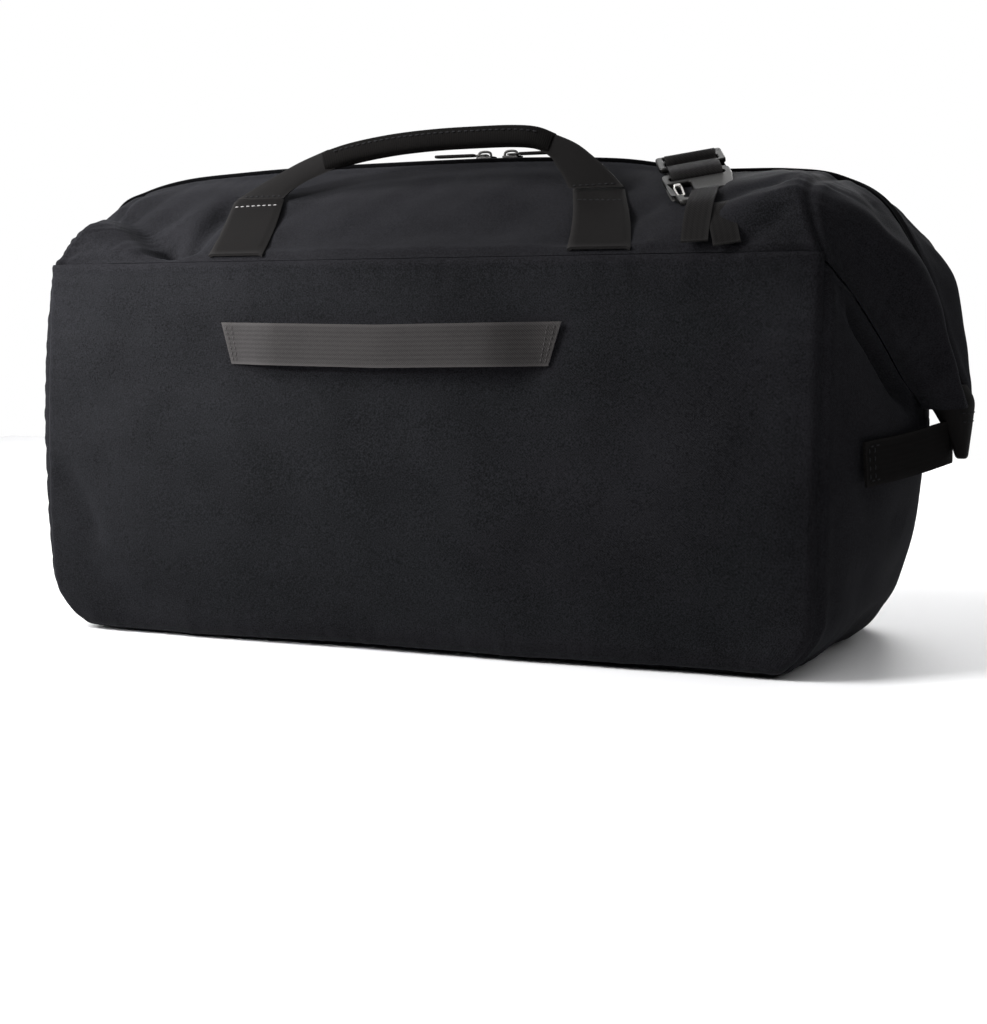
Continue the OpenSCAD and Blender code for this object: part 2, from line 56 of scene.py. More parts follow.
def make_stage():
    yaw, pitch = math.radians(23.14), math.radians(5.63)
    camera = bpy.data.objects.new("camera", bpy.data.cameras.new("camera"))
    camera.data.lens = 63.3
    camera.data.sensor_width = 36
    camera.location = (0.468, -1.065, 0.190)
    camera.rotation_euler = (math.pi / 2 - pitch, 0, yaw)
    bpy.context.scene.collection.objects.link(camera)
    bpy.context.scene.camera = camera

    floor = bpy.data.meshes.new("floor")
    far = 1.7
    corners = [(-far, -far, 0), (far, -far, 0), (far, far, 0), (-far, far, 0)]
    floor.from_pydata(corners, [], [(0, 1, 2, 3)])
    floor_object = bpy.data.objects.new("floor", floor)
    bpy.context.scene.collection.objects.link(floor_object)
    pale = bpy.data.materials.new("pale_floor")
    pale.use_nodes = True
    shader = pale.node_tree.nodes["Principled BSDF"]
    shader.inputs["Base Color"].default_value = (0.86, 0.86, 0.87, 1)
    shader.inputs["Roughness"].default_value = 0.6
    floor.materials.append(pale)

    def hang(lamp, place, aim, power):
        lamp.energy = power
        light = bpy.data.objects.new(lamp.name, lamp)
        light.location = place
        light.rotation_euler = (Vector(aim) - Vector(place)).to_track_quat("-Z", "Y").to_euler()
        bpy.context.scene.collection.objects.link(light)

    def area(name, place, aim, size, power):
        lamp = bpy.data.lights.new(name, "AREA")
        lamp.shape = "RECTANGLE"
        lamp.size, lamp.size_y = size
        hang(lamp, place, aim, power)

    area("key_light", (-1.05, -0.95, 1.15), (-0.14, -0.1, 0.2), (0.8, 0.8), 52)
    area("back_light", (-0.5, 2.3, 1.2), (0, 0, 0.15), (1.4, 1.0), 30)
    area("overhead", (0, 0, 4.0), (0, 0.001, 0), (16, 16), 660)
    pool = bpy.data.lights.new("left_pool", "SPOT")
    pool.spot_size = math.radians(19)
    pool.spot_blend = 1.0
    pool.shadow_soft_size = 0.12
    hang(pool, (-0.95, -1.15, 0.55), (-0.23, -0.11, 0.25), 230)
    world = bpy.data.worlds.new("studio")
    world.use_nodes = True
    tree = world.node_tree
    soft = tree.nodes["Background"]
    soft.inputs["Color"].default_value = (0.95, 0.97, 1, 1)
    soft.inputs["Strength"].default_value = 0.04
    backdrop = tree.nodes.new("ShaderNodeBackground")
    backdrop.inputs["Color"].default_value = (1, 1, 1, 1)
    either = tree.nodes.new("ShaderNodeMixShader")
    tree.links.new(tree.nodes.new("ShaderNodeLightPath").outputs["Is Camera Ray"], either.inputs[0])
    tree.links.new(soft.outputs[0], either.inputs[1])
    tree.links.new(backdrop.outputs[0], either.inputs[2])
    tree.links.new(either.outputs[0], tree.nodes["World Output"].inputs[0])
    bpy.context.scene.world = world
    bpy.context.scene.view_settings.view_transform = "Standard"


# ---------- materials ----------

class Nodes:
    """A small helper that adds shader nodes and links them in one line each."""

    def __init__(self, name):
        self.material = bpy.data.materials.new(name)
        self.material.use_nodes = True
        self.tree = self.material.node_tree
        self.shader = self.tree.nodes["Principled BSDF"]

    def add(self, kind, inputs=(), **settings):
        node = self.tree.nodes.new("ShaderNode" + kind)
        for key, value in settings.items():
            setattr(node, key, value)
        for key, value in dict(inputs).items():
            if isinstance(value, bpy.types.NodeSocket):
                self.tree.links.new(value, node.inputs[key])
            else:
                node.inputs[key].default_value = value
        return node

    def math(self, operation, a, b=0.0):
        return self.add("Math", {0: a, 1: b}, operation=operation).outputs[0]

    def noise(self, vector, scale, detail=2.0):
        node = self.add("TexNoise", {"Vector": vector, "Scale": scale, "Detail": detail})
        return node.outputs["Fac"]

    def mix(self, factor, a, b):
        return self.add("Mix", {0: factor, 6: a, 7: b}, data_type="RGBA").outputs[2]

    def between(self, value, low, high):
        return self.add("MapRange", {"Value": value, "From Min": low, "From Max": high}).outputs[0]

    def rubbed(self, color, base, edges, gain, lift, amount):
        """A colour that wear has made lighter where the surface has an edge."""
        edge = self.between(self.add("NewGeometry").outputs["Pointiness"], *edges)
        worn = [min(1.0, c * gain + lift) for c in base]
        return self.mix(self.math("MULTIPLY", edge, amount), color, (*worn, 1))

    def bump(self, height, strength, distance):
        return self.add("Bump", {"Height": height, "Strength": strength, "Distance": distance}).outputs[0]

    def set(self, **values):
        for key, value in values.items():
            socket = self.shader.inputs[key.replace("_", " ")]
            if isinstance(value, bpy.types.NodeSocket):
                self.tree.links.new(value, socket)
            else:
                socket.default_value = value


def woven(name, dark, light, weave, twill, rough, sheen, relief, speckle=0.35, rub=0.35):
    """Cloth whose threads lie along its own UV map, which is in metres. weave is the pitch of its threads,
    relief their height, speckle how mottled the yarn is, and rub how much its edges are worn."""
    n = Nodes(name)
    uv = n.add("UVMap", uv_map="cut").outputs["UV"]
    place = n.add("TexCoord").outputs["Object"]
    split = n.add("SeparateXYZ", {0: uv})
    across, down = split.outputs[0], split.outputs[1]
    turns = 2 * math.pi / weave
    if twill:
        diagonal = n.math("ADD", across, n.math("MULTIPLY", down, twill))
        ribs = n.math("SINE", n.math("MULTIPLY", diagonal, turns))
        ends = n.math("SINE", n.math("MULTIPLY", across, turns * 0.5))
        threads = n.math("ADD", n.math("MULTIPLY", ribs, 0.7), n.math("MULTIPLY", ends, 0.3))
    else:
        warp = n.math("SINE", n.math("MULTIPLY", across, turns))
        weft = n.math("SINE", n.math("MULTIPLY", down, turns))
        threads = n.math("MULTIPLY", warp, weft)
    lift = n.math("ADD", n.math("MULTIPLY", threads, 0.5), 0.5)
    grain = n.noise(place, 1250.0, 1.0)
    patch = n.noise(place, 22.0, 3.0)
    tone = n.math("ADD", n.math("MULTIPLY", grain, speckle), n.math("MULTIPLY", patch, 0.3))
    tone = n.math("ADD", tone, n.math("MULTIPLY", lift, 0.45))
    middle = 0.5 * speckle + 0.375
    reach = 0.14 + 0.09 * speckle
    color = n.mix(n.between(tone, middle - reach, middle + reach), (*dark, 1), (*light, 1))
    color = n.rubbed(color, light, (0.52, 0.60), 1.7, 0.004, rub)
    height = n.math("ADD", n.math("MULTIPLY", lift, 0.8), n.math("MULTIPLY", grain, 0.5))
    bump = n.bump(height, 0.6, relief)
    roughness = n.math("ADD", n.math("MULTIPLY", grain, 0.12), rough - 0.06)
    n.set(Base_Color=color, Roughness=roughness, Normal=bump, Sheen_Weight=sheen, Sheen_Roughness=0.45,
          Specular_IOR_Level=0.04)
    n.shader.inputs["Sheen Tint"].default_value = (0.85, 0.87, 1.0, 1)
    return n.material


def coated(name, dark, light, rough, grain_scale, relief):
    """Smooth coated trim or moulded plastic with a fine leather-like grain."""
    n = Nodes(name)
    place = n.add("TexCoord").outputs["Object"]
    cells = n.add("TexVoronoi", {"Vector": place, "Scale": grain_scale}).outputs["Distance"]
    cloud = n.noise(place, 35.0, 4.0)
    fine = n.noise(place, grain_scale * 1.7, 2.0)
    color = n.rubbed(n.mix(cloud, (*dark, 1), (*light, 1)), light, (0.53, 0.62), 1.8, 0.01, 0.5)
    bump = n.bump(n.math("ADD", cells, n.math("MULTIPLY", fine, 0.4)), 0.5, relief)
    roughness = n.math("ADD", n.math("MULTIPLY", fine, 0.2), rough - 0.1)
    n.set(Base_Color=color, Roughness=roughness, Normal=bump, Specular_IOR_Level=0.07)
    return n.material


def metal(name, color, rough, brushed):
    """Plated metal with faint brushing and rubbed edges."""
    n = Nodes(name)
    place = n.add("TexCoord").outputs["Object"]
    stretched = n.add("Mapping", {"Vector": place, "Scale": (brushed, 1.0, brushed)}).outputs[0]
    scratch = n.noise(stretched, 260.0, 4.0)
    cloud = n.noise(place, 90.0, 3.0)
    tone = n.mix(cloud, (*(c * 0.85 for c in color), 1), (*(min(1.0, c * 1.1) for c in color), 1))
    tone = n.rubbed(tone, color, (0.54, 0.64), 1.6, 0.05, 0.6)
    bump = n.bump(scratch, 0.15, 0.0001)
    roughness = n.math("ADD", n.math("MULTIPLY", scratch, 0.16), rough - 0.08)
    n.set(Base_Color=tone, Roughness=roughness, Normal=bump, Metallic=1.0)
    return n.material


def make_materials():
    m = {}
    m["body"] = woven("body_polyester", (0.0011, 0.0011, 0.0014), (0.0116, 0.0116, 0.0134), weave=0.0009,
                      twill=0, rough=0.85, sheen=0.02, relief=0.00012, speckle=0.9, rub=0.0)
    m["lining"] = woven("lining_nylon", (0.10, 0.105, 0.12), (0.19, 0.195, 0.215), weave=0.0008,
                        twill=0, rough=0.55, sheen=0.10, relief=0.00008, rub=0.0)
    m["webbing"] = woven("strap_webbing", (0.0025, 0.0023, 0.0022), (0.0082, 0.0076, 0.0073), weave=0.0016,
                         twill=1.0, rough=0.66, sheen=0.02, relief=0.00025)
    m["trolley"] = woven("trolley_webbing", (0.013, 0.0121, 0.0119), (0.030, 0.028, 0.0275), weave=0.0013,
                         twill=1.0, rough=0.58, sheen=0.08, relief=0.00020)
    m["grip"] = woven("grip_webbing", (0.0012, 0.0011, 0.0010), (0.0034, 0.0030, 0.0029), weave=0.0015,
                      twill=1.0, rough=0.8, sheen=0.0, relief=0.00022)
    m["tape"] = woven("zip_tape", (0.0010, 0.0010, 0.0012), (0.0030, 0.0030, 0.0034), weave=0.0010,
                      twill=0, rough=0.45, sheen=0.02, relief=0.00010)
    m["trim"] = coated("coated_trim", (0.0022, 0.0019, 0.0019), (0.0042, 0.0037, 0.0036),
                       0.74, 1500.0, 0.00008)
    for key, name, dark, light in (
            ("thread", "dark_thread", (0.006, 0.006, 0.007), (0.014, 0.014, 0.015)),
            ("strap_thread", "strap_thread", (0.030, 0.028, 0.028), (0.050, 0.047, 0.047)),
            ("pale_thread", "pale_thread", (0.16, 0.155, 0.155), (0.26, 0.255, 0.25))):
        m[key] = coated(name, dark, light, 0.7, 3000.0, 0.00005)
    m["coil"] = coated("zip_coil", (0.004, 0.004, 0.0045), (0.010, 0.010, 0.011), 0.4, 2500.0, 0.00003)
    m["board"] = coated("base_board", (0.020, 0.020, 0.022), (0.032, 0.032, 0.034), 0.5, 900.0, 0.00005)
    m["gun"] = metal("dark_plating", (0.032, 0.031, 0.030), 0.42, 8.0)
    m["nickel"] = metal("nickel_wire", (0.72, 0.70, 0.67), 0.2, 3.0)
    return m


# ---------- mesh helpers ----------

def build(name, points, faces, material, uv=None, smooth=True):
    """A mesh object from arrays; uv holds one pair for each point."""
    mesh = bpy.data.meshes.new(name)
    mesh.from_pydata(np.asarray(points, float).tolist(), [], [tuple(f) for f in faces])
    if uv is not None:
        corner = np.zeros(len(mesh.loops), np.int32)
        mesh.loops.foreach_get("vertex_index", corner)
        layer = mesh.uv_layers.new(name="cut")
        layer.data.foreach_set("uv", np.asarray(uv, np.float32)[corner].ravel())
    mesh.polygons.foreach_set("use_smooth", [smooth] * len(mesh.polygons))
    mesh.set_sharp_from_angle(angle=math.radians(58))
    mesh.materials.append(material)
    piece = bpy.data.objects.new(name, mesh)
    bpy.context.scene.collection.objects.link(piece)
    return piece


def unit(v):
    v = np.asarray(v, float)
    return v / np.maximum(np.linalg.norm(v, axis=-1, keepdims=True), 1e-12)


def grid_normals(grid):
    return unit(np.cross(np.gradient(grid, axis=0), np.gradient(grid, axis=1)))


def outward(grid, way):
    """A grid's normals, on the side of it that looks towards way."""
    normals = grid_normals(grid)
    return normals if float((normals.reshape(-1, 3) @ np.asarray(way, float)).mean()) > 0 else -normals


def squared(values, power):
    """Bends a circle's sines and cosines towards a rounded box as power falls below 1."""
    return np.sign(values) * np.abs(values) ** power


def grid_faces(rows, cols, start=0, flip=False):
    i, j = np.meshgrid(np.arange(rows - 1), np.arange(cols - 1), indexing="ij")
    a = (start + i * cols + j).ravel()
    quads = np.stack([a, a + cols, a + cols + 1, a + 1], 1)
    return (quads[:, ::-1] if flip else quads).tolist()


def tube_faces(rings, sides, start=0, flip=False):
    """The faces of a tube with flat ends, whose points lie ring by ring."""
    faces = []
    for i in range(rings - 1):
        for j in range(sides):
            a, b = start + i * sides + j, start + i * sides + (j + 1) % sides
            faces.append((a, a + sides, b + sides, b) if flip else (a, b, b + sides, a + sides))
    ends = [tuple(range(start, start + sides))[::-1],
            tuple(range(start + (rings - 1) * sides, start + rings * sides))]
    return faces + [end[::-1] if flip else end for end in ends]


def lengths(grid):
    """Metric UVs of a grid: the mean length along each of its two directions."""
    rows = np.linalg.norm(np.diff(grid, axis=0), axis=2).mean(1)
    cols = np.linalg.norm(np.diff(grid, axis=1), axis=2).mean(0)
    v, u = np.concatenate([[0], np.cumsum(rows)]), np.concatenate([[0], np.cumsum(cols)])
    return np.stack(np.meshgrid(u, v), 2).reshape(-1, 2)


def cloth(name, grid, thick, material, out, inside=None):
    """A closed sheet: grid is its outer face, looking towards out, and the inner face lies behind it."""
    rows, cols = grid.shape[:2]
    if float((grid_normals(grid).reshape(-1, 3) @ np.asarray(out, float)).mean()) < 0:
        grid = grid[:, ::-1]
    normals = grid_normals(grid)
    n = rows * cols
    points = np.concatenate([grid.reshape(-1, 3), (grid - normals * thick).reshape(-1, 3)])
    outer, inner = grid_faces(rows, cols), grid_faces(rows, cols, n, True)
    rim = ([i * cols for i in range(rows)] + [(rows - 1) * cols + j for j in range(1, cols)]
           + [i * cols + cols - 1 for i in range(rows - 2, -1, -1)] + list(range(cols - 2, 0, -1)))
    edge = [(b, a, n + a, n + b) for a, b in zip(rim, rim[1:] + rim[:1])]
    piece = build(name, points, outer + inner + edge, material, np.concatenate([lengths(grid)] * 2))
    if inside is not None:
        piece.data.materials.append(inside)
        first = len(outer)
        for face in piece.data.polygons[first:first + len(inner)]:
            face.material_index = 1
    return piece


def turn_outwards(mesh, merge=False):
    """Points a closed mesh's faces outwards, after joining its doubled points if asked."""
    tidy = bmesh.new()
    tidy.from_mesh(mesh)
    if merge:
        bmesh.ops.remove_doubles(tidy, verts=tidy.verts, dist=1e-6)
    bmesh.ops.recalc_face_normals(tidy, faces=tidy.faces)
    tidy.to_mesh(mesh)
    tidy.free()


def closed_grid(name, grid, material):
    """A solid from rings of points, whose last column repeats the first, with its two ends capped."""
    rows, cols = grid.shape[0], grid.shape[1] - 1
    piece = build(name, grid[:, :-1].reshape(-1, 3), tube_faces(rows, cols), material,
                  lengths(grid).reshape(rows, cols + 1, 2)[:, :-1].reshape(-1, 2))
    turn_outwards(piece.data)
    return piece


def spline(points, count):
    """A smooth curve through points, as count points at even distances."""
    p = np.asarray(points, float)
    p = np.concatenate([[2 * p[0] - p[1]], p, [2 * p[-1] - p[-2]]])
    t = np.linspace(0, 1, 12, endpoint=False)[:, None]
    fine = []
    for a, b, c, d in zip(p, p[1:], p[2:], p[3:]):
        fine.append(0.5 * (2 * b + (c - a) * t + (2 * a - 5 * b + 4 * c - d) * t ** 2
                           + (3 * b - a - 3 * c + d) * t ** 3))
    fine = np.concatenate([*fine, [p[-2]]])
    run = measured(fine)
    at = np.linspace(0, run[-1], count)
    return np.stack([np.interp(at, run, fine[:, k]) for k in range(fine.shape[1])], 1)


def directions(path, side):
    """The ways ahead, sideways and up at each point of a path; side is roughly the way sideways."""
    ahead = unit(np.gradient(path, axis=0))
    side = unit(side - (side * ahead).sum(1, keepdims=True) * ahead)
    return ahead, side, np.cross(ahead, side)


def shifted(x, y, z):
    return Matrix.Translation(Vector((x, y, z)) * MM)


def sweep(name, path, side, section, material):
    """Closed sections along a path. section is (count, 2) or (path, count, 2):
    its first number lies along side, its second along the normal."""
    path = np.asarray(path, float)
    n = len(path)
    section = np.asarray(section, float)
    if section.ndim == 2:
        section = np.repeat(section[None], n, 0)
    k = section.shape[1]
    _, side, up = directions(path, side)
    rings = path[:, None] + section[..., :1] * side[:, None] + section[..., 1:] * up[:, None]
    uv = np.stack([section[..., 0], np.repeat(measured(path)[:, None], k, 1)], 2).reshape(-1, 2)
    return build(name, rings.reshape(-1, 3), tube_faces(n, k, flip=True), material, uv)


def ripple(points, size, seed, count=9):
    """Smooth random waves of about that size, from -1 to 1, the same on every run."""
    r = np.random.default_rng(seed)
    way = unit(r.normal(size=(count, 3)))
    pace = 2 * math.pi / size * r.uniform(0.6, 1.5, count)
    waves = np.sin(points @ (way * pace[:, None]).T + r.uniform(0, 2 * math.pi, count))
    return waves.sum(-1) / math.sqrt(count) / 1.4


def rippled(grid, out, hold, *waves):
    """Pushes a grid in and out in waves: (size in metres, seed, height in mm), less where hold is small."""
    height = sum(ripple(grid, size, seed) * tall for size, seed, tall in waves)
    return grid + out * (height * hold * MM)[..., None]


def measured(line):
    """How far along a line each of its points is."""
    return np.concatenate([[0], np.cumsum(np.linalg.norm(np.diff(line, axis=0), axis=1))])


def near_line(points, line):
    """How far each point is from a line through points in millimetres, and the share of its length."""
    line = spline(np.array(line, float) * MM, 24)
    flat = points.reshape(-1, 3)
    apart = np.linalg.norm(flat[:, None] - line[None], axis=2)
    best = apart.argmin(1)
    return apart.min(1).reshape(points.shape[:-1]), (best / 23.0).reshape(points.shape[:-1])


def folded(grid, out, folds, hold):
    """Pushes a grid in along its folds: (line in mm, width in mm, depth in mm, outward if negative).
    hold is 0 where the grid has to stay, along its seams, and 1 where it is free."""
    moved = grid.copy()
    for line, width, depth in folds:
        away, share = near_line(grid, line)
        fade = np.clip(np.minimum(share, 1 - share) * 4 + 0.08, 0, 1)
        moved -= out * (np.exp(-(away / (width * MM)) ** 2) * depth * MM * fade * hold)[..., None]
    return moved


def stitches(name, rows, out, material, long=2.6, pitch=3.8, thick=0.42):
    """Rows of thread: each row is a line of points in metres, and out its outward directions."""
    ring = np.linspace(0, 2 * math.pi, 6, endpoint=False)
    shape = [(-0.5, 0.35), (-0.3, 0.95), (0, 1.1), (0.3, 0.95), (0.5, 0.35)]
    points, faces = [], []
    for line, normal in zip(rows, out):
        line, normal = np.asarray(line, float), unit(normal)
        run = measured(line)
        number = max(1, int(run[-1] / (pitch * MM)))
        for at in (np.arange(number) + 0.5) / number * run[-1]:
            place = np.array([np.interp(at, run, line[:, k]) for k in range(3)])
            i = min(np.searchsorted(run, at), len(line) - 1)
            ahead = unit(line[max(i, 1)] - line[max(i, 1) - 1])
            up = normal[min(i, len(normal) - 1)] if normal.ndim == 2 else normal
            side = unit(np.cross(ahead, up))
            start = len(points)
            for step, wide in shape:
                middle = place + ahead * step * long * MM + up * 0.1 * thick * MM
                points += [middle + (up * math.sin(a) + side * math.cos(a)) * wide * thick * MM
                           for a in ring]
            faces += tube_faces(len(shape), len(ring), start)
    return build(name, points, faces, material)


# ---------- the bag's outer surfaces, worked out in millimetres ----------

SEAM_Z = 236              # height of the seams between the side panels and the top
DEPTH = 110               # from the middle of the bag to a side panel
ZIP_GAP = 6.0             # from the middle of the zip to the edge of the fabric
BOTTOM = 0.6              # the lower edge of the walls
WALL, TOP = 0.0022, 0.002          # thicknesses of the fabric with its padding, in metres

# Stations from the middle of the bag to a wing's tip. Each has a point at the seam,
# at the knee of the surface, and at the fabric's edge beside the zip, for the back face.
RIGHT = [((0, -110, 236), (0, -57, 272), (0, 299)),
         ((120, -110, 236), (120, -62, 267), (96, 296)),
         ((200, -110, 236), (177, -92, 266), (150, 288)),
         ((236, -108, 235), (212, -107, 271), (205, 286)),
         ((250, -105, 231), (238, -111, 272), (236, 281)),
         ((262, -84, 213), (268, -97, 258), (262, 265)),
         ((273, -55, 187), (297, -64, 229), (282, 229)),
         ((281, -32, 165), (308, -44, 196), (296, 184)),
         ((286, -24, 156), (313, -28, 167), (304, 164)),
         ((290, -15, 147), (314, -18, 148), (310, 149))]
LEFT = [((0, -110, 236), (0, -57, 272), (0, 299)),
        ((-112, -110, 236), (-112, -58, 272), (-112, 298)),
        ((-190, -110, 236), (-170, -72, 268), (-168, 296)),
        ((-234, -108, 235), (-208, -92, 262), (-210, 293)),
        ((-250, -105, 231), (-231, -101, 256), (-242, 286)),
        ((-263, -84, 212), (-256, -86, 240), (-265, 275)),
        ((-274, -55, 187), (-287, -60, 216), (-285, 238)),
        ((-282, -32, 165), (-303, -44, 192), (-296, 188)),
        ((-286, -24, 156), (-312, -28, 166), (-303, 165)),
        ((-290, -15, 147), (-313, -18, 148), (-309, 149))]
CREST = 4 / 9             # how far along the stations the seam between a shoulder and a wing lies


def stations(side, face):
    """The three rails of a top surface, as arrays of millimetres."""
    rails = np.array([[foot, knee, (top[0], -ZIP_GAP, top[1])]
                      for foot, knee, top in (RIGHT if side > 0 else LEFT)], float)
    rails[..., 1] *= -face
    return rails


def along(rails, t):
    """Values at t from 0 to 1 on smooth curves through the stations."""
    n = len(rails) - 1
    k = np.clip(np.asarray(t, float) * n, 0, n - 1e-9)
    i = k.astype(int)
    f = (k - i).reshape(-1, *[1] * (rails.ndim - 1))
    a, b = rails[np.maximum(i - 1, 0)], rails[i]
    c, d = rails[i + 1], rails[np.minimum(i + 2, n)]
    a = np.where((i == 0).reshape(f.shape), c * [-1, 1, 1], a)    # level where the two sides meet
    d = np.where((i == n - 1).reshape(f.shape), 2 * c - b, d)
    return 0.5 * (2 * b + (c - a) * f + (2 * a - 5 * b + 4 * c - d) * f ** 2
                  + (3 * b - a - 3 * c + d) * f ** 3)


def top_points(side, face, t, v):
    """Points in metres of a top surface: t runs from the middle to the tip, v from seam to zip."""
    rail = along(stations(side, face), t)
    v = np.asarray(v, float).reshape(-1, 1)
    foot, knee, top = rail[:, 0], rail[:, 1], rail[:, 2]
    return ((1 - v) ** 3 * foot + 3 * v * (1 - v) * knee + v ** 3 * top) * MM


def on_top(x, v, face):
    """A point of the top surface above a place along the bag, with its normal."""
    side = 1 if x > 0 else -1
    t = np.linspace(0, 1, 240)
    line = top_points(side, face, t, np.full(240, v))
    at = np.interp(abs(x) * MM, np.abs(line[:, 0]), t)
    near = top_points(side, face, [at, at, max(0.0, at - 0.01), at + 0.01],
                      [max(0.0, v - 0.02), min(1.0, v + 0.02), v, v])
    normal = unit(np.cross(near[3] - near[2], near[1] - near[0]))
    if normal[2] < 0:
        normal = -normal
    return top_points(side, face, [at], [v])[0], normal


def foot_in(z):
    """How far the corner seams draw in towards the base."""
    return 26 * np.maximum(0, 1 - z / 40) ** 2.4


def corner_x(side, z):
    """Where a corner seam stands: the left ones swell outwards and the right ones lean in a little."""
    swell = np.where(np.asarray(side) < 0, 6.0, -1.5) * np.sin(math.pi * np.clip(z / SEAM_Z, 0, 1) ** 0.8)
    return 251.5 + swell - foot_in(z)


def edge_y(z):
    """Half of the bag's depth at its corner seams."""
    return DEPTH - 3.5 - 8 * np.maximum(0, 1 - z / 16) ** 2


def panel_y(x, z):
    """How far a side panel stands from the middle: it hangs fullest in its lower half."""
    share = np.clip(np.abs(x) / corner_x(np.sign(x), z), 0, 1)
    full = 9.5 * np.sin(math.pi * np.clip(z / SEAM_Z, 0, 1) ** 0.75) * (1 - share ** 4)
    corner = 3.5 * np.clip((share - 0.9) / 0.1, 0, 1) ** 2
    return DEPTH - corner + full - 8 * np.maximum(0, 1 - z / 16) ** 2


def crease(y):
    """The lower edge of a wing at a distance from the middle: its x and z."""
    feet = stations(1, 1)[3:, 0]
    order = np.argsort(feet[:, 1])
    return [np.interp(np.abs(y), feet[order, 1], feet[order, axis]) for axis in (0, 2)]


def sewn(grid, out, away, place, seed, into, pucker=0.5, groove=2.6, pitch=12.0):
    """Draws a sheet in along a seam, and lets it pucker beside it. away and place are in millimetres;
    into is the way both of the seam's sheets are drawn, so that their edges stay together."""
    r = np.random.default_rng(seed)
    waves = [np.sin(2 * math.pi * place / (pitch * r.uniform(0.7, 1.7)) + r.uniform(0, 6.28))
             for _ in range(4)]
    push = pucker * sum(waves) / 2 * (np.exp(-away / 12) - np.exp(-away / 3.5))
    push = push + 0.6 * np.exp(-((away - 5) / 2.6) ** 2)
    return grid + (out * push[..., None] + into * (groove * np.exp(-(away / 2.4) ** 2))[..., None]) * MM


def spaced(low, high, count, fine_low=0.0, fine_high=0.0):
    """Numbers from low to high that lie closer together at a fine end."""
    u = np.linspace(0, 1, count)
    closer = np.where(u < 0.5, fine_low, fine_high) * np.sin(2 * math.pi * u) / 6.3
    return low + (high - low) * (u - closer)


# ---------- walls ----------

PANEL_FOLDS = {
    -1: [([(-250, -108, 60), (-200, -114, 26), (-150, -113, 12)], 12, 5.0),
         ([(-250, -107, 110), (-228, -113, 84), (-212, -116, 50)], 11, 4.6),
         ([(-246, -107, 210), (-215, -112, 196), (-170, -113, 190)], 13, 2.4),
         ([(-252, -107, 150), (-228, -113, 146), (-190, -114, 150)], 15, 1.6),
         ([(236, -108, 30), (200, -114, 20), (150, -113, 16)], 12, 1.6),
         ([(246, -107, 205), (214, -112, 214), (170, -112, 218)], 12, 1.6),
         ([(248, -107, 120), (226, -113, 126), (200, -114, 140)], 14, 1.2),
         ([(-70, -114, 168), (0, -114, 160), (60, -114, 168)], 26, -1.6)],
    1: [([(-250, 108, 180), (-200, 112, 160), (-120, 113, 150)], 18, 2.2),
        ([(250, 108, 70), (200, 114, 40), (140, 113, 26)], 18, 2.2),
        ([(240, 108, 215), (190, 112, 200), (140, 113, 200)], 15, 1.6),
        ([(-236, 108, 30), (-190, 114, 30), (-150, 114, 50)], 16, 1.8)]}


def side_panel(name, face, node):
    u = np.linspace(-1, 1, 190)
    z = spaced(BOTTOM, SEAM_Z - 0.4, 96, 0.8, 0.3)
    zz, uu = np.meshgrid(z, u, indexing="ij")
    x = uu * corner_x(np.sign(uu), zz)
    grid = np.stack([x, face * panel_y(x, zz), zz], 2) * MM
    out = outward(grid, (0, face, 0))
    out = unit(out + np.array([0, face * 0.2, 0]))
    edge = 1 - np.abs(uu)
    grid = folded(grid, out, PANEL_FOLDS[face], np.clip(np.minimum(edge * 30, (SEAM_Z - zz) / 8), 0, 1))
    inside = np.clip(np.minimum(edge * 8, (SEAM_Z - zz) / 20), 0, 1)
    grid = rippled(grid, out, inside, (0.17, 11 + face, 1.1), (0.05, 21 + face, 0.25))
    corner = unit(np.stack([-np.sign(uu), np.full_like(uu, -face), 0 * uu], 2))
    grid = sewn(grid, out, 250 * edge, zz, 31 + face, corner, 0.8)
    grid = sewn(grid, out, SEAM_Z - zz, x + 300, 41 + face, np.array([0, -face * 0.6, -0.8]), 0.5, 1.8)
    grid = sewn(grid, out, zz, x + 300, 51 + face, np.array([0, -face * 0.7, 0.7]), 0.6)
    piece = cloth(name, grid, WALL, mat["body"], (0, face, 0), mat["lining"])
    finish(piece, SHELL, "body_fabric", node)


UNDER_WING = [(254, 94, 214), (268, 70, 192), (281, 44, 167), (288, 16, 146)]
END_FOLDS = [([(x, way * y, z) for x, y, z in UNDER_WING], 9, 12.0) for way in (-1, 1)] + [
    ([(262, -84, 60), (282, -40, 44), (285, 20, 50)], 14, 3.0),
    ([(256, 90, 150), (280, 50, 110), (288, 10, 96)], 14, 2.6),
    ([(262, -84, 118), (276, -60, 90), (285, -20, 78)], 12, 2.4),
    ([(256, -98, 200), (270, -70, 170), (286, -30, 150)], 12, 2.2),
    ([(248, 70, 20), (262, 20, 28), (258, -50, 20)], 11, 2.0)]


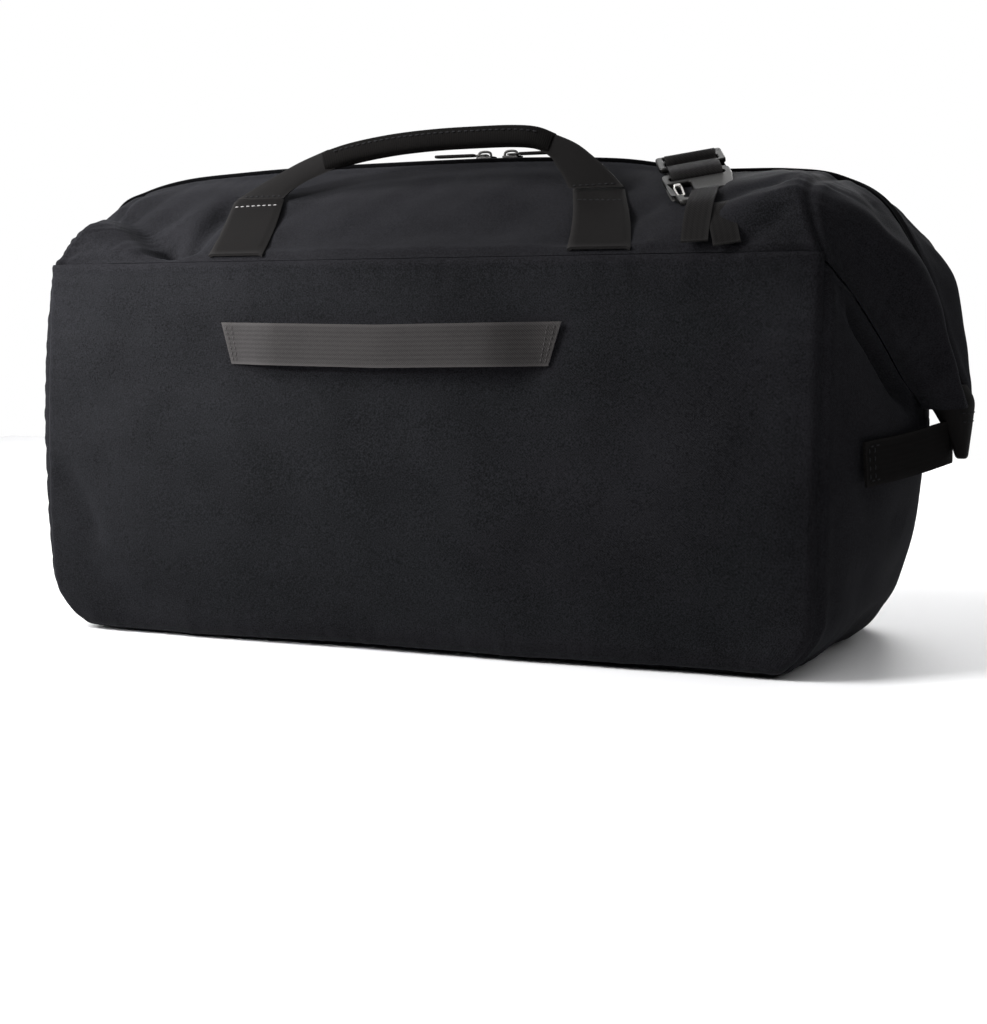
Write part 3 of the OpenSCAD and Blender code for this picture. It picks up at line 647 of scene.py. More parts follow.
def end_panel(name, side, node):
    share = np.linspace(-1, 1, 110)
    level = spaced(0, 1, 90, 0.8, 0.4)
    vv, uu = np.meshgrid(level, share, indexing="ij")
    crease_y = np.abs(uu) * (DEPTH - 3.5)
    top_x, top_z = crease(np.maximum(crease_y, 24))
    zz = BOTTOM + (top_z - BOTTOM) * vv
    y = uu * edge_y(zz)
    bulge = 38 * (1 - uu ** 2) * (1 - np.maximum(0, 1 - zz / 150) ** 2.2)
    x = corner_x(side, zz) + bulge
    tuck = np.clip((zz - top_z + 42) / 42, 0, 1) ** 2
    x = x + (top_x - x) * tuck
    grid = np.stack([side * x, y, zz], 2) * MM
    out = unit(outward(grid, (side, 0, 0)) + np.array([side * 0.2, 0, 0]))
    edge = 1 - np.abs(uu)
    folds = [([(side * x, y, z) for x, y, z in line], width, depth) for line, width, depth in END_FOLDS]
    grid = folded(grid, out, folds, np.clip(np.minimum(edge * 14, (1 - vv) * 30), 0, 1))
    inside = np.clip(edge * 6, 0, 1) * np.clip((1 - vv) * 8, 0, 1)
    grid = rippled(grid, out, inside, (0.11, 61 + side, 1.6), (0.04, 71 + side, 0.4))
    corner = unit(np.stack([np.full_like(uu, -side), -np.sign(uu), 0 * uu], 2))
    grid = sewn(grid, out, edge_y(zz) * edge, zz, 81 + side, corner, 0.8)
    grid = sewn(grid, out, (1 - vv) * top_z, y + 200, 91 + side, np.array([-side, 0, 0]), 0.7)
    grid = sewn(grid, out, zz, y + 200, 95 + side, np.array([-side * 0.7, 0, 0.7]), 0.6)
    piece = cloth(name, grid, WALL, mat["body"], (side, 0, 0), mat["lining"])
    finish(piece, SHELL, "body_fabric", node)


def base_panel():
    u, w = np.meshgrid(np.linspace(-1, 1, 120), np.linspace(-1, 1, 60), indexing="ij")
    grid = np.stack([u * 225, w * 98.3, 0.5 + 0.9 * np.maximum(np.abs(u), np.abs(w)) ** 30], 2) * MM
    grid[..., 2] += (ripple(grid, 0.06, 5) + 1) * 0.2 * MM
    piece = cloth("base_cloth", grid, TOP, mat["body"], (0, 0, -1), mat["lining"])
    finish(piece, SHELL, "body_fabric", "base_panel")


def finish(piece, body, slot_name, *nodes):
    """Rides a piece on its body and puts it in place of its CAD nodes; slot_name is not used."""
    if body is not None:
        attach(piece, body)
    if nodes:
        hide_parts(*nodes)
    return piece


# ---------- the top: shoulders, wings and zip ----------

TOP_FOLDS = {
    -1: [([(160, -88, 256), (190, -84, 265), (215, -82, 272), (234, -80, 276)], 9, 3.0),
         ([(147, -106, 240), (181, -103, 252), (214, -103, 263), (240, -101, 268)], 7, -2.0),
         ([(196, -110, 237), (214, -106, 246), (236, -104, 262)], 7, 3.0),
         ([(150, -72, 262), (170, -66, 268), (186, -62, 272)], 13, 2.2),
         ([(60, -30, 288), (100, -60, 268), (118, -96, 246)], 10, 1.8),
         ([(205, -15, 286), (214, -50, 284), (236, -94, 270)], 12, -2.6),
         ([(150, -60, 266), (120, -86, 252), (84, -104, 240)], 10, 2.4),
         ([(252, -100, 246), (270, -80, 228), (288, -54, 200)], 9, 2.8),
         ([(246, -95, 266), (270, -78, 250), (294, -50, 214)], 9, -2.0),
         ([(258, -30, 268), (270, -60, 250), (276, -74, 232)], 10, 2.4),
         ([(-246, -40, 270), (-216, -66, 264), (-188, -86, 256), (-165, -101, 245), (-151, -109, 237)],
          12, 10.0),
         ([(-151, -109, 237), (-150, -92, 252), (-149, -75, 264), (-146, -45, 279)], 8, 7.0),
         ([(-240, -86, 252), (-205, -101, 245), (-176, -108, 239)], 13, -4.5),
         ([(-226, -44, 276), (-200, -60, 272), (-176, -74, 266)], 20, 6.0),
         ([(-178, -92, 252), (-160, -101, 244), (-148, -104, 241)], 9, 6.0),
         ([(-200, -55, 274), (-174, -80, 260), (-160, -95, 249)], 12, 2.6),
         ([(-135, -106, 242), (-128, -80, 260), (-124, -50, 276)], 10, -2.0),
         ([(-100, -106, 240), (-60, -90, 252), (-10, -84, 256)], 14, 2.0),
         ([(-30, -100, 244), (20, -86, 254), (70, -92, 248)], 12, 2.0),
         ([(-255, -60, 262), (-270, -50, 248), (-286, -40, 222)], 9, 2.4)],
    1: [([(60, 100, 242), (110, 80, 258), (160, 50, 276)], 12, 2.4),
        ([(210, 100, 246), (240, 90, 262), (270, 60, 250)], 11, 3.0),
        ([(255, 30, 266), (275, 60, 240), (280, 70, 212)], 10, 2.4),
        ([(-60, 100, 242), (-120, 84, 256), (-190, 60, 272)], 12, 2.6),
        ([(-220, 104, 240), (-240, 88, 252), (-262, 50, 252)], 10, 3.4),
        ([(-262, 20, 270), (-276, 50, 236), (-282, 60, 210)], 10, 2.4)]}
NAMES = {-1: "back", 1: "front"}
SIDES = {-1: "left", 1: "right"}


def bend_with_flap(piece):
    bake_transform(piece)


def top_half(face, side):
    """One face of the top, from the middle of the bag to the tip of a wing."""
    t = spaced(0, 1, 170)
    v = spaced(0, 1, 64, 0.5, 0.6)
    tt, vv = np.meshgrid(t, v, indexing="ij")
    grid = top_points(side, face, tt.ravel(), vv.ravel()).reshape(*tt.shape, 3)
    way = (side * 0.3, face * 0.5, 1)
    out = outward(grid, way)
    grid = folded(grid, out, TOP_FOLDS[face], np.clip(np.minimum(vv, 1 - vv) * 22, 0, 1))
    seed = 100 + 10 * face
    inside = np.clip(np.minimum(vv, 1 - vv) * 6, 0, 1)
    grid = rippled(grid, out, inside, (0.10, seed, 1.5), (0.035, seed + 3, 0.45))
    width = np.linalg.norm(np.diff(grid, axis=1), axis=2).sum(1)[:, None] / MM
    run = measured(grid[:, 0])[:, None] / MM
    wing = np.clip((tt - CREST + 0.03) / 0.06, 0, 1)[..., None]
    foot = unit(np.array([0, -face * 0.6, -0.8]) * (1 - wing) + np.array([-side, 0, 0.01]) * wing)
    grid = sewn(grid, out, vv * width, side * run + 0 * vv, seed + 5, foot, 0.6, 1.8)
    grid = sewn(grid, out, (1 - vv) * width, side * run + 0 * vv, seed + 6, -out, 0.3, 0.4)
    ahead = np.abs(run - np.interp(CREST, t, run[:, 0]))
    grid = sewn(grid, out, ahead + 0 * vv, vv * width, seed + 7, -out, 0.6, 1.6)
    name = f"{NAMES[face]}_top_{SIDES[side]}"
    piece = cloth(name, grid, TOP, mat["body"], way, mat["lining"])
    finish(piece, None, "body_fabric", f"{NAMES[face]}_shoulder", f"{SIDES[side]}_wing_{NAMES[face]}")
    bend_with_flap(piece)


def zip_line(side, count):
    rail = along(stations(side, -1), np.linspace(0, 1, count))[:, 2]
    rail[:, 1] = 0
    return spline(rail * MM, count)


# Sections of the zip, from the middle of the ridge: (across, up) for the tape, and
# (across, up, radius) for a tooth.
TAPE = [(8.2, -1.6), (6.8, 0.2), (5.4, 1.8), (3.8, 2.9), (2.6, 3.2), (1.5, 3.3)]
TOOTH = [(0.25, 2.8, 0.35), (0.5, 3.65, 0.62), (1.2, 4.15, 0.7), (2.2, 4.15, 0.66), (3.1, 3.7, 0.6),
         (3.5, 3.2, 0.3)]


def zip_half(face, side):
    """A zip tape with its row of coil teeth, from the middle of the bag to a wing's tip."""
    line = zip_line(side, 150)
    up = unit(np.cross(np.gradient(line, axis=0), [0, -side, 0]))
    across = np.array([0, face, 0])
    grid = np.stack([line + across * y * MM + up * h * MM for y, h in TAPE], 1)
    name = f"{NAMES[face]}_tape_{SIDES[side]}"
    tape = cloth(name, grid, 0.0007, mat["tape"], (side * 0.3, 0, 1))
    tooth_line = zip_line(side, 215)
    ahead = unit(np.gradient(tooth_line, axis=0))
    up = unit(np.cross(ahead, [0, -side, 0]))
    points, faces = [], []
    ring = np.linspace(0, 2 * math.pi, 7)[:-1]
    for place, way, lift in zip(tooth_line, ahead, up):
        start = len(points)
        for y, h, r in TOOTH:
            middle = place + across * y * MM + lift * h * MM + way * (0.5 * face) * MM
            points += [middle + (way * math.cos(a) * 0.8 + lift * math.sin(a) * 0.7) * r * MM for a in ring]
        faces += tube_faces(len(TOOTH), len(ring), start)
    teeth = build(f"{NAMES[face]}_teeth_{SIDES[side]}", points, faces, mat["coil"])
    for piece, part in ((tape, "zip_tape"), (teeth, "zip_teeth")):
        finish(piece, None, "zip_tape", f"{NAMES[face]}_{part}", f"{SIDES[side]}_closed_zip")
        bend_with_flap(piece)


# ---------- wing ends and end straps ----------

NARROW = 25               # the width of the trolley strap and the end straps


def band(name, points, sides, width, thick, material, count, out=None, slant=0.0):
    """A flat webbing as a closed sheet, and its grid. sides says which way its width lies, once or for each
    point, and slant moves its two ends' upper edges out along the path, in millimetres."""
    sides = np.broadcast_to(np.array(sides, float), np.shape(points))
    both = spline(np.concatenate([np.array(points, float), sides], 1), count)
    path = both[:, :3] * MM
    ahead, side, up = directions(path, unit(both[:, 3:]))
    columns = np.linspace(-1, 1, 9)
    grid = path[:, None] + side[:, None] * (columns * width / 2 * MM)[None, :, None]
    run = np.linspace(0, 1, count)
    lean = slant * (np.clip(1 - (1 - run) * 12, 0, 1) - np.clip(1 - run * 12, 0, 1))
    grid = grid + ahead[:, None] * (lean[:, None] * columns * MM)[..., None]
    return cloth(name, grid, thick * MM, material, up.mean(0) if out is None else out), grid


def thread_rows(grid, up, rows):
    """Lines on a band, and their normals: each row is two (row share, column share) ends on its grid."""
    share = np.linspace(0, 1, 12)
    n, m = grid.shape[0] - 1, grid.shape[1] - 1
    lines = []
    for (r0, c0), (r1, c1) in rows:
        r, c = (r0 + (r1 - r0) * share) * n, (c0 + (c1 - c0) * share) * m
        i, j = np.minimum(r.astype(int), n - 1), np.minimum(c.astype(int), m - 1)
        f, g = (r - i)[:, None], (c - j)[:, None]
        lines.append((1 - f) * (1 - g) * grid[i, j] + f * (1 - g) * grid[i + 1, j]
                     + (1 - f) * g * grid[i, j + 1] + f * g * grid[i + 1, j + 1])
    return lines, [np.asarray(up, float)] * len(lines)


def threads(name, body, slot_name, lines, normals, material=None, long=2.6, pitch=3.8, place=Matrix()):
    """Rows of stitches as a finished piece, in dark thread unless another is named."""
    piece = stitches(name, lines, normals, material or mat["thread"], long, pitch)
    piece.data.transform(place)
    return finish(piece, body, slot_name)


# Rings of the tab that closes a wing: height, nearest and farthest reach along the bag, half of the depth.
TAB_RINGS = [(161, 297, 309.5, 12), (155, 290.5, 313, 15), (150, 289.5, 314.3, 15.5), (144, 293, 314, 13),
             (136, 297.5, 313.3, 10), (127, 302, 312.3, 7.5), (120, 304.5, 311.5, 6), (118.5, 306, 310.5, 4)]
# Half of an end strap's line, from the corner seam to the tab.
END_STRAP = [(269.8, 83, 119), (273.8, 74, 120), (281.5, 56, 121.5), (290.5, 36, 124), (299, 17, 127),
             (302, 6, 128)]


def wing_end(side):
    name = SIDES[side]
    # the small underside between the end panel and the wing's tip
    share = np.linspace(-1, 1, 17)
    bow, sag = 3 * (1 - np.abs(share) ** 3), 1.5 * (1 - share ** 4)
    inner = np.stack([side * (288.5 + 0 * share), share * 24, 152 + 0 * share], 1)
    outer = np.stack([side * (290 + bow), share * 20, 150.5 - sag], 1)
    grid = np.stack([inner + (outer - inner) * k for k in np.linspace(0, 1, 7)], 1) * MM
    under = cloth(f"{name}_gusset_cloth", grid, 0.0015, mat["body"], (0, 0, -1))
    finish(under, SHELL, "body_fabric", f"{name}_wing_gusset")
    # the folded tab that closes the wing and holds the end strap
    sides = 36
    a = np.linspace(0, 2 * math.pi, sides + 1)
    z, near, far, half = spline(TAB_RINGS, 44).T[..., None]
    x = (near + far) / 2 + (far - near) / 2 * squared(np.cos(a), 0.6)
    grid = np.stack([side * x, half * squared(np.sin(a), 0.8), z + 0 * a], 2) * MM
    tab = closed_grid(f"{name}_tab_trim", grid, mat["trim"])
    finish(tab, SHELL, "coated_trim", f"{name}_wing_tab")
    lines = [grid[k][np.arange(-7, 8) % sides] for k in (17, 22)]
    normals = [unit(line - line.mean(0) + np.array([side * 0.02, 0, 0])) for line in lines]
    threads(f"{name}_tab_stitches", SHELL, "coated_trim", lines, normals, long=2.2, pitch=3.4)
    # the webbing across the end panel
    points = [(side * x, -side * y, z) for x, y, z in END_STRAP]
    points += [(side * x, side * y, z) for x, y, z in END_STRAP[::-1]]
    strap, grid = band(f"{name}_end_webbing", points, (0, 0, 1), NARROW, 1.8, mat["grip"], 80, (side, 0, 0))
    finish(strap, SHELL, "webbing", f"{name}_end_strap")
    rows = [((r, 0.12), (r, 0.88)) for r in (0.018, 0.045, 0.955, 0.982)]
    rows += [((r0, c), (r1, c)) for r0, r1 in ((0.018, 0.075), (0.925, 0.982)) for c in (0.12, 0.88)]
    threads(f"{name}_end_stitches", SHELL, "webbing", *thread_rows(grid, (side, 0, 0), rows))


# ---------- inside ----------

def inside_pieces():
    """The lining, which rises from the middle of its floor to the seams, and the pocket on it."""
    columns, floor_z, floor_share = 181, 7, 0.3
    turn = np.linspace(0, 2 * math.pi, columns)
    ring = np.stack([squared(np.cos(turn), 0.22) * 243, squared(np.sin(turn), 0.22) * 102.5], 1)
    level = np.linspace(0, 1, 60)
    rows = []
    for share in level:
        rise = 222 * max(0, share - floor_share) / (1 - floor_share)
        if share < floor_share:
            size = 0.02 + 0.88 * share / floor_share
        else:
            size = [1 - 0.1 * max(0, 1 - rise / 40) ** 2, 1 - 0.02 * max(0, 1 - rise / 20)]
        rows.append(np.column_stack([ring * size, np.full(columns, floor_z + rise)]))
    grid = np.array(rows) * MM
    waves = ripple(grid * [1, 1, 0.35], 0.07, 201)[..., None]
    inwards = -unit(grid * [1, 1, 0] + [0, 1e-6, 0])
    grid = grid + inwards * (0.5 + 0.5 * waves) * 2.6 * MM * np.clip((level - 0.2) * 5, 0, 1)[:, None, None]
    grid[:, -1] = grid[:, 0]
    piece = cloth("lining_cloth", grid, 0.0006, mat["lining"], (0, 0, 1))
    finish(piece, SHELL, "lining_fabric", "lining")
    half, low, high = 130, 60, 190
    x, z = np.meshgrid(np.linspace(-half, half, 90), np.linspace(low, high, 44), indexing="ij")
    lift = (z - low) / (high - low)
    slack = np.sin(math.pi * (x + half) / (2 * half)) * lift ** 1.5
    pocket = np.stack([x, 98.5 - 5 * slack - 1.2 * np.sin(x / 5.2) * lift ** 3, z], 2) * MM
    piece = cloth("pocket_cloth", pocket, 0.0008, mat["lining"], (0, -1, 0))
    finish(piece, SHELL, "lining_fabric", "inner_pocket")
    top = [(x, y, high - 2) for x, y in ((-half, 97.4), (-60, 92.6), (0, 91.6), (60, 92.6), (half, 97.4))]
    hem = band("pocket_elastic", top, (0, 0, 1), 14, 1.0, mat["webbing"], 90, (0, -1, 0))[0]
    finish(hem, SHELL, "webbing")


# ---------- trolley strap ----------

def trolley_strap():
    left, right, height = -114.0, 100.0, 184.0
    count = 25
    share = np.linspace(-1, 1, count)
    rise = np.clip((1 - np.abs(share)) / 0.36, 0, 1)
    x = (left + right) / 2 + (right - left) / 2 * share
    y = -panel_y(x, np.full(count, height)) - 2.2 - 10.0 * rise ** 2 * (3 - 2 * rise)
    points = np.column_stack([x, y, height + 1.6 * np.abs(share) - 0.8])
    strap, grid = band("trolley_webbing", points, (0, 0, 1), NARROW, 1.6, mat["trolley"], 120,
                       out=(0, -1, 0), slant=4.0)
    finish(strap, SHELL, "webbing", "trolley_strap")
    rows = thread_rows(grid, (0, -1, 0), [((r, 0.06), (r, 0.94)) for r in (0.012, 0.028, 0.972, 0.988)])
    threads("trolley_stitches", SHELL, "webbing", *rows, mat["strap_thread"], 2.0, 3.0)


# ---------- handles ----------

# Where the middle of an anchor patch lies along the bag: at the seam, and at its stitches.
ANCHORS = {(-1, -1): (-112, -127), (-1, 1): (123, 101), (1, -1): (-128, -126), (1, 1): (104, 102)}


def anchor(face, side):
    """A folded patch from the seam up to the handle's stitches."""
    seam_x, stitch_x = ANCHORS[face, side]
    low, high = 0.012, (0.585 if side < 0 else 0.66)
    row, thread = (0.80, "pale_thread") if side < 0 else (0.72, "thread")
    rows, columns = 26, 15
    grid, ups = np.zeros((2, rows, columns, 3))
    for i, k in enumerate(np.linspace(0, 1, rows)):
        half_w = (38 - 4 * k) / 2
        for j, u in enumerate(np.linspace(-1, 1, columns)):
            place, up = on_top(seam_x + (stitch_x - seam_x) * k + u * half_w, low + (high - low) * k, face)
            rounding = min(1.0, (1 - abs(u)) * 7) ** 0.5
            grid[i, j] = place + up * (1.0 + 1.3 * rounding) * MM
            ups[i, j] = up
    name = f"{NAMES[face]}_{SIDES[side]}_anchor"
    piece = cloth(name + "_patch", grid, 0.0018, mat["trim"], (0, face * 0.5, 1))
    finish(piece, None, "coated_trim", name)
    bend_with_flap(piece)
    across = thread_rows(grid, unit(ups.reshape(-1, 3).mean(0)), [((row, 0.07), (row, 0.93))])
    piece = threads(name + "_stitches", None, "coated_trim", *across, mat[thread], 2.4, 3.6)
    bend_with_flap(piece)


HANDLE_FOLD = math.radians(96)       # from standing up to lying on the shoulder
# Lines of the standing handle, as places along the bag and heights over its hinge.
HANDLE_LINE = [(-67, 22.5), (-44, 27.5), (-18, 31), (10, 32.8), (36, 33.2), (60, 33), (75, 31.5), (86, 27.5)]
LEG_EDGES = {-1: ([(-131, 0.4), (-116, 8), (-100, 15.5), (-84, 22.5), (-64, 29.5)],
                  [(-97, 0.4), (-91, 5), (-82, 9.5), (-73, 13), (-58, 18.0)]),
             1: ([(131, 0.4), (122, 10), (112, 19), (101, 27), (86, 33.5)],
                 [(97, 0.4), (93, 8), (89, 14), (85.5, 19), (77, 24.5)])}


def handle_curve(line, count):
    return spline(np.array([(x, 0, z) for x, z in line]) * MM, count)


def handle(face):
    place = shifted(-13 if face < 0 else -12, face * 51.7, 275.8)
    if face > 0:
        place = place @ Matrix.Rotation(-HANDLE_FOLD, 4, "X")
    name = NAMES[face]
    body = f"{name}_handle"
    # the grip: webbing folded round a core, flattened where it meets the legs
    path = handle_curve(HANDLE_LINE, 70)
    k = np.linspace(0, 1, len(path))[:, None]
    full = np.clip(np.minimum(k, 1 - k) / 0.10, 0, 1) ** 0.6
    a = np.linspace(0, 2 * math.pi, 33)[:-1]
    wrap = np.where(np.abs(a - 1.5 * math.pi) < 0.25, 1.10, 1.0)
    gathers = 1 + 0.02 * np.sin(k * 150 + 3 * np.sin(k * 21)) * np.sin(a) ** 2
    section = np.stack([squared(np.cos(a), 0.8) * (3.1 + 2.2 * full) * wrap * gathers,
                        squared(np.sin(a), 0.75) * (5.9 + 0.4 * full) * wrap], 2) * MM
    grip = sweep(f"{name}_grip_pad", path, np.array([0, 1.0, 0]), section, mat["grip"])
    grip.data.transform(place)
    finish(grip, body, "webbing", body + "_grip")
    # the edge seams along the grip's underside
    up = unit(np.cross(np.gradient(path, axis=0), [0, -1.0, 0]))
    lines = [(path - up * 3.2 * MM + np.array([0, way * 5.2, 0]) * MM)[4:-4] for way in (-1, 1)]
    normals = [np.array([0, way, -0.3]) for way in (-1, 1)]
    threads(f"{name}_grip_stitches", body, "webbing", lines, normals, pitch=4.0, place=place)
    # the legs: flat where they are stitched down, gathered at the grip
    rows, columns = 24, 13
    w, rise = np.linspace(-1, 1, columns)[None], np.linspace(0, 1, rows)[:, None]
    bow = 1.5 + 0.9 * (1 - w ** 2) * rise - 0.7 * np.abs(w) ** 3 * (1 - rise)
    for side, (outer, inner) in LEG_EDGES.items():
        first, last = handle_curve(outer, rows), handle_curve(inner, rows)
        grid = np.stack([first + (last - first) * share for share in np.linspace(0, 1, columns)], 1)
        grid[..., 1] = face * bow * MM
        way = (0, face, 0)
        leg = cloth(f"{name}_{SIDES[side]}_leg", grid, 0.003, mat["trim"], way)
        leg.data.transform(place)
        finish(leg, body, "webbing", body + "_legs")
        row = thread_rows(grid, way, [((0.05, 0.07), (0.05, 0.93))])
        threads(f"{name}_{SIDES[side]}_leg_stitches", body, "webbing", *row, long=2.4, place=place)


# ---------- zip sliders ----------

def outline(points, radius, count=6):
    """A polygon with each corner rounded off."""
    p = np.array(points, float)
    out = []
    for before, here, after in zip(np.roll(p, 1, 0), p, np.roll(p, -1, 0)):
        r = min(radius, 0.45 * np.linalg.norm(before - here), 0.45 * np.linalg.norm(after - here))
        a, b = here + unit(before - here) * r, here + unit(after - here) * r
        for t in np.linspace(0, 1, count):
            out.append((1 - t) ** 2 * a + 2 * t * (1 - t) * here + t ** 2 * b)
    return np.array(out)


def oblong(x0, y0, x1, y1, radius):
    return outline([(x0, y0), (x1, y0), (x1, y1), (x0, y1)], radius)


def even(half, radius, side):
    """An outline from its points on one side of its own x axis, pointing to the left or the right."""
    return outline(half + [(x, -y) for x, y in half[::-1]], radius) * [side, 1]


def plate(name, rings, thick, bevel, material, place=Matrix()):
    """A bevelled plate in its own x, y plane, centred on z, with holes after its first ring."""
    curve = bpy.data.curves.new(name, "CURVE")
    curve.dimensions = "2D"
    curve.fill_mode = "BOTH"
    curve.extrude = (thick / 2 - bevel) * MM
    curve.bevel_depth = bevel * MM
    curve.bevel_resolution = 3
    curve.offset = -bevel * MM
    for ring in rings:
        line = curve.splines.new("POLY")
        line.points.add(len(ring) - 1)
        for point, (x, y) in zip(line.points, ring):
            point.co = (x * MM, y * MM, 0, 1)
        line.use_cyclic_u = True
    holder = bpy.data.objects.new(name + "_curve", curve)
    bpy.context.scene.collection.objects.link(holder)
    bpy.context.view_layer.update()
    mesh = bpy.data.meshes.new_from_object(holder.evaluated_get(bpy.context.evaluated_depsgraph_get()))
    bpy.data.objects.remove(holder)
    mesh.name = name
    turn_outwards(mesh, merge=True)
    mesh.transform(place)
    mesh.materials.clear()
    mesh.materials.append(material)
    piece = bpy.data.objects.new(name, mesh)
    bpy.context.scene.collection.objects.link(piece)
    return piece


def joined(name, pieces):
    """Several meshes of one material as one piece."""
    whole = bmesh.new()
    for piece in pieces:
        whole.from_mesh(piece.data)
    first = pieces[0]
    whole.to_mesh(first.data)
    whole.free()
    for piece in pieces[1:]:
        bpy.data.objects.remove(piece)
    first.name = first.data.name = name
    return first


def wire(name, points, radius, material, count=40):
    a = np.linspace(0, 2 * math.pi, 13)[:-1]
    circle = np.stack([np.cos(a), np.sin(a)], 1) * radius * MM
    path = spline(np.array(points) * MM, count)
    side = unit(np.cross(np.gradient(path, axis=0), [0.12, 0.23, 0.97]))
    return sweep(name, path, side, circle, material)


def zip_slider(side):
    name, x = SIDES[side], 8 if side < 0 else 26
    top_z, pivot_z = 302.4, 303.0
    body = even([(-6.5, -2.2), (-4.5, -4.6), (3, -4.6), (6.5, -2.6)], 2.2, side)
    parts = [plate(f"{name}_plate", [body], 1.0, 0.35, mat["gun"], shifted(x, 0, top_z - depth))
             for depth in (0.7, 5.0)]
    flange = [oblong(-5.2, -2.2, 5.2, 2.2, 0.8)]
    upright = Matrix.Rotation(math.pi / 2, 4, "X")
    parts += [plate(f"{name}_flange", flange, 0.8, 0.2, mat["gun"], shifted(x, y, top_z - 2.9) @ upright)
              for y in (-4.35, 4.35)]
    arch = [(x + away, -2.5, top_z + lift)
            for away, lift in ((-4.4, -0.6), (-3.6, 2.0), (0, 2.7), (3.6, 2.0), (4.4, -0.6))]
    parts.append(wire(f"{name}_bridge", arch, 0.8, mat["gun"]))
    slider = joined(f"{name}_slider_metal", parts)
    finish(slider, f"{name}_slider", "dark_metal", f"{name}_zip_slider")
    # the pull swings on the bridge and lies along the zip
    tab = plate(f"{name}_pull_tab", [even([(6, -3.1), (30, -3.6), (34, -2.6)], 2.0, side)],
                1.7, 0.6, mat["trim"], shifted(x, -3.5, pivot_z))
    rings = [even([(-2.2, -2.6), (8, -2.0)], 1.4, side), even([(-0.6, -1.3), (5, -0.9)], 0.7, side)[::-1]]
    ring = plate(f"{name}_pull_ring", rings, 1.0, 0.35, mat["gun"], shifted(x, -2.5, pivot_z))
    finish(tab, f"{name}_pull", "coated_trim", f"{name}_zip_pull")
    finish(ring, f"{name}_pull", "dark_metal")


# ---------- hooks, loops and the shoulder strap ----------

STRAP, LOOP = (30, 1.5), (15, 1.3)       # width and thickness of their webbing
SLOPE = math.atan2(51, 110)              # of the shoulder near the strap, from its seam up to the zip
STRAP_TURN = Matrix.Rotation(math.radians(24), 4, "Z")
SHOULDER = shifted(0, -DEPTH, SEAM_Z) @ Matrix.Rotation(SLOPE, 4, "X")
HOOK_BACK = SHOULDER @ shifted(173, 50, 13) @ STRAP_TURN
HOOK_FRONT = shifted(-190, 115.4, 203) @ Matrix.Rotation(-math.pi / 2, 4, "X")
ADJUSTER = SHOULDER @ shifted(147, 111, 12) @ STRAP_TURN
GATE_WIRE = [(-14.6, 22.4, 0), (-15.1, 18, 0), (-14.9, 9, 0), (-14.6, 5.4, 0), (-13, 4.2, 0),
             (-11.4, 5.4, 0), (-11.1, 9, 0), (-10.9, 18, 0), (-11.4, 22.4, 0)]


def seen(matrix, points, size=MM):
    """Points of a fitting's own frame, in millimetres, in the bag's; size is 1 for metres."""
    return [tuple(matrix @ (Vector(point) * MM) / size) for point in points]


def turned(matrix, way):
    return tuple(matrix.to_3x3() @ Vector(way))


def fitting(name, rings, matrix, body, node):
    finish(plate(name, rings, 3.2, 0.9, mat["gun"], matrix), body, "dark_metal", node)


def hook(matrix, body, gate_body, node, gate_node):
    rings = [outline([(-20, 40), (-20, 26), (-17, 10), (-16, -8), (15, -8), (20, 26), (20, 40)], 4.5),
             outline([(-12, -3), (12, -3), (12, 5), (-5, 5), (-5, 23.5), (-18.6, 23.5), (-18.6, 14),
                      (-18, 3), (-12, 3)], 1.2),
             oblong(-16, 28, 16, 33, 1.4)]
    fitting(node + "_plate", rings, matrix, body, node)
    loop = wire(gate_node + "_wire", GATE_WIRE, 0.85, mat["nickel"], 70)
    pin = plate(gate_node + "_pin", [oblong(-15.2, 19.4, -10.8, 22.8, 1.5)], 2.9, 0.5, mat["nickel"])
    gate = joined(gate_node + "_spring", [loop, pin])
    gate.data.transform(matrix)
    finish(gate, gate_body, "nickel_wire", gate_node)


def adjuster():
    rings = [oblong(-20, -11, 20, 11, 3.0), oblong(-15.8, -8.2, 15.8, -2.0, 1.0),
             oblong(-15.8, 2.0, 15.8, 8.2, 1.0)]
    fitting("adjuster_frame", rings, ADJUSTER, "adjuster", "strap_adjuster")


def bend_with_hook(piece):
    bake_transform(piece)


def back_strap():
    """The strap's sewn end round the hook's slot, and on through the adjuster to the zip."""
    at_hook = [(57, -2.6), (48, -2.9), (40, -3.0), (34, -2.7), (30.6, -1.6), (29.9, 0), (30.6, 1.9),
               (34, 3.1), (40, 3.2), (47, 2.4), (53, 0.6)]
    at_adjuster = [(-5.2, -0.6), (-2.5, 2.6), (0, 3.4), (2.5, 2.6), (5.2, -1.2)]
    points, sides = [], []
    for matrix, places in ((HOOK_BACK, at_hook), (ADJUSTER, at_adjuster)):
        points += seen(matrix, [(0, y, z) for y, z in places])
        sides += [turned(matrix, (1, 0, 0))] * len(places)
    points += [(145, -6, 293.5), (146.4, 2, 294.5)]
    sides += [(0.98, 0.15, 0), (1, 0.05, 0)]
    strap, grid = band("strap_back_webbing", points, sides, *STRAP, mat["webbing"], 130)
    finish(strap, None, "webbing", "back_hook_webbing")
    bend_with_hook(strap)
    rows = thread_rows(grid, turned(HOOK_BACK, (0, 0, 1)), [((r, 0.1), (r, 0.9)) for r in (0.515, 0.545)])
    bend_with_hook(threads("strap_back_stitches", None, "webbing", *rows, long=2.4, pitch=3.6))


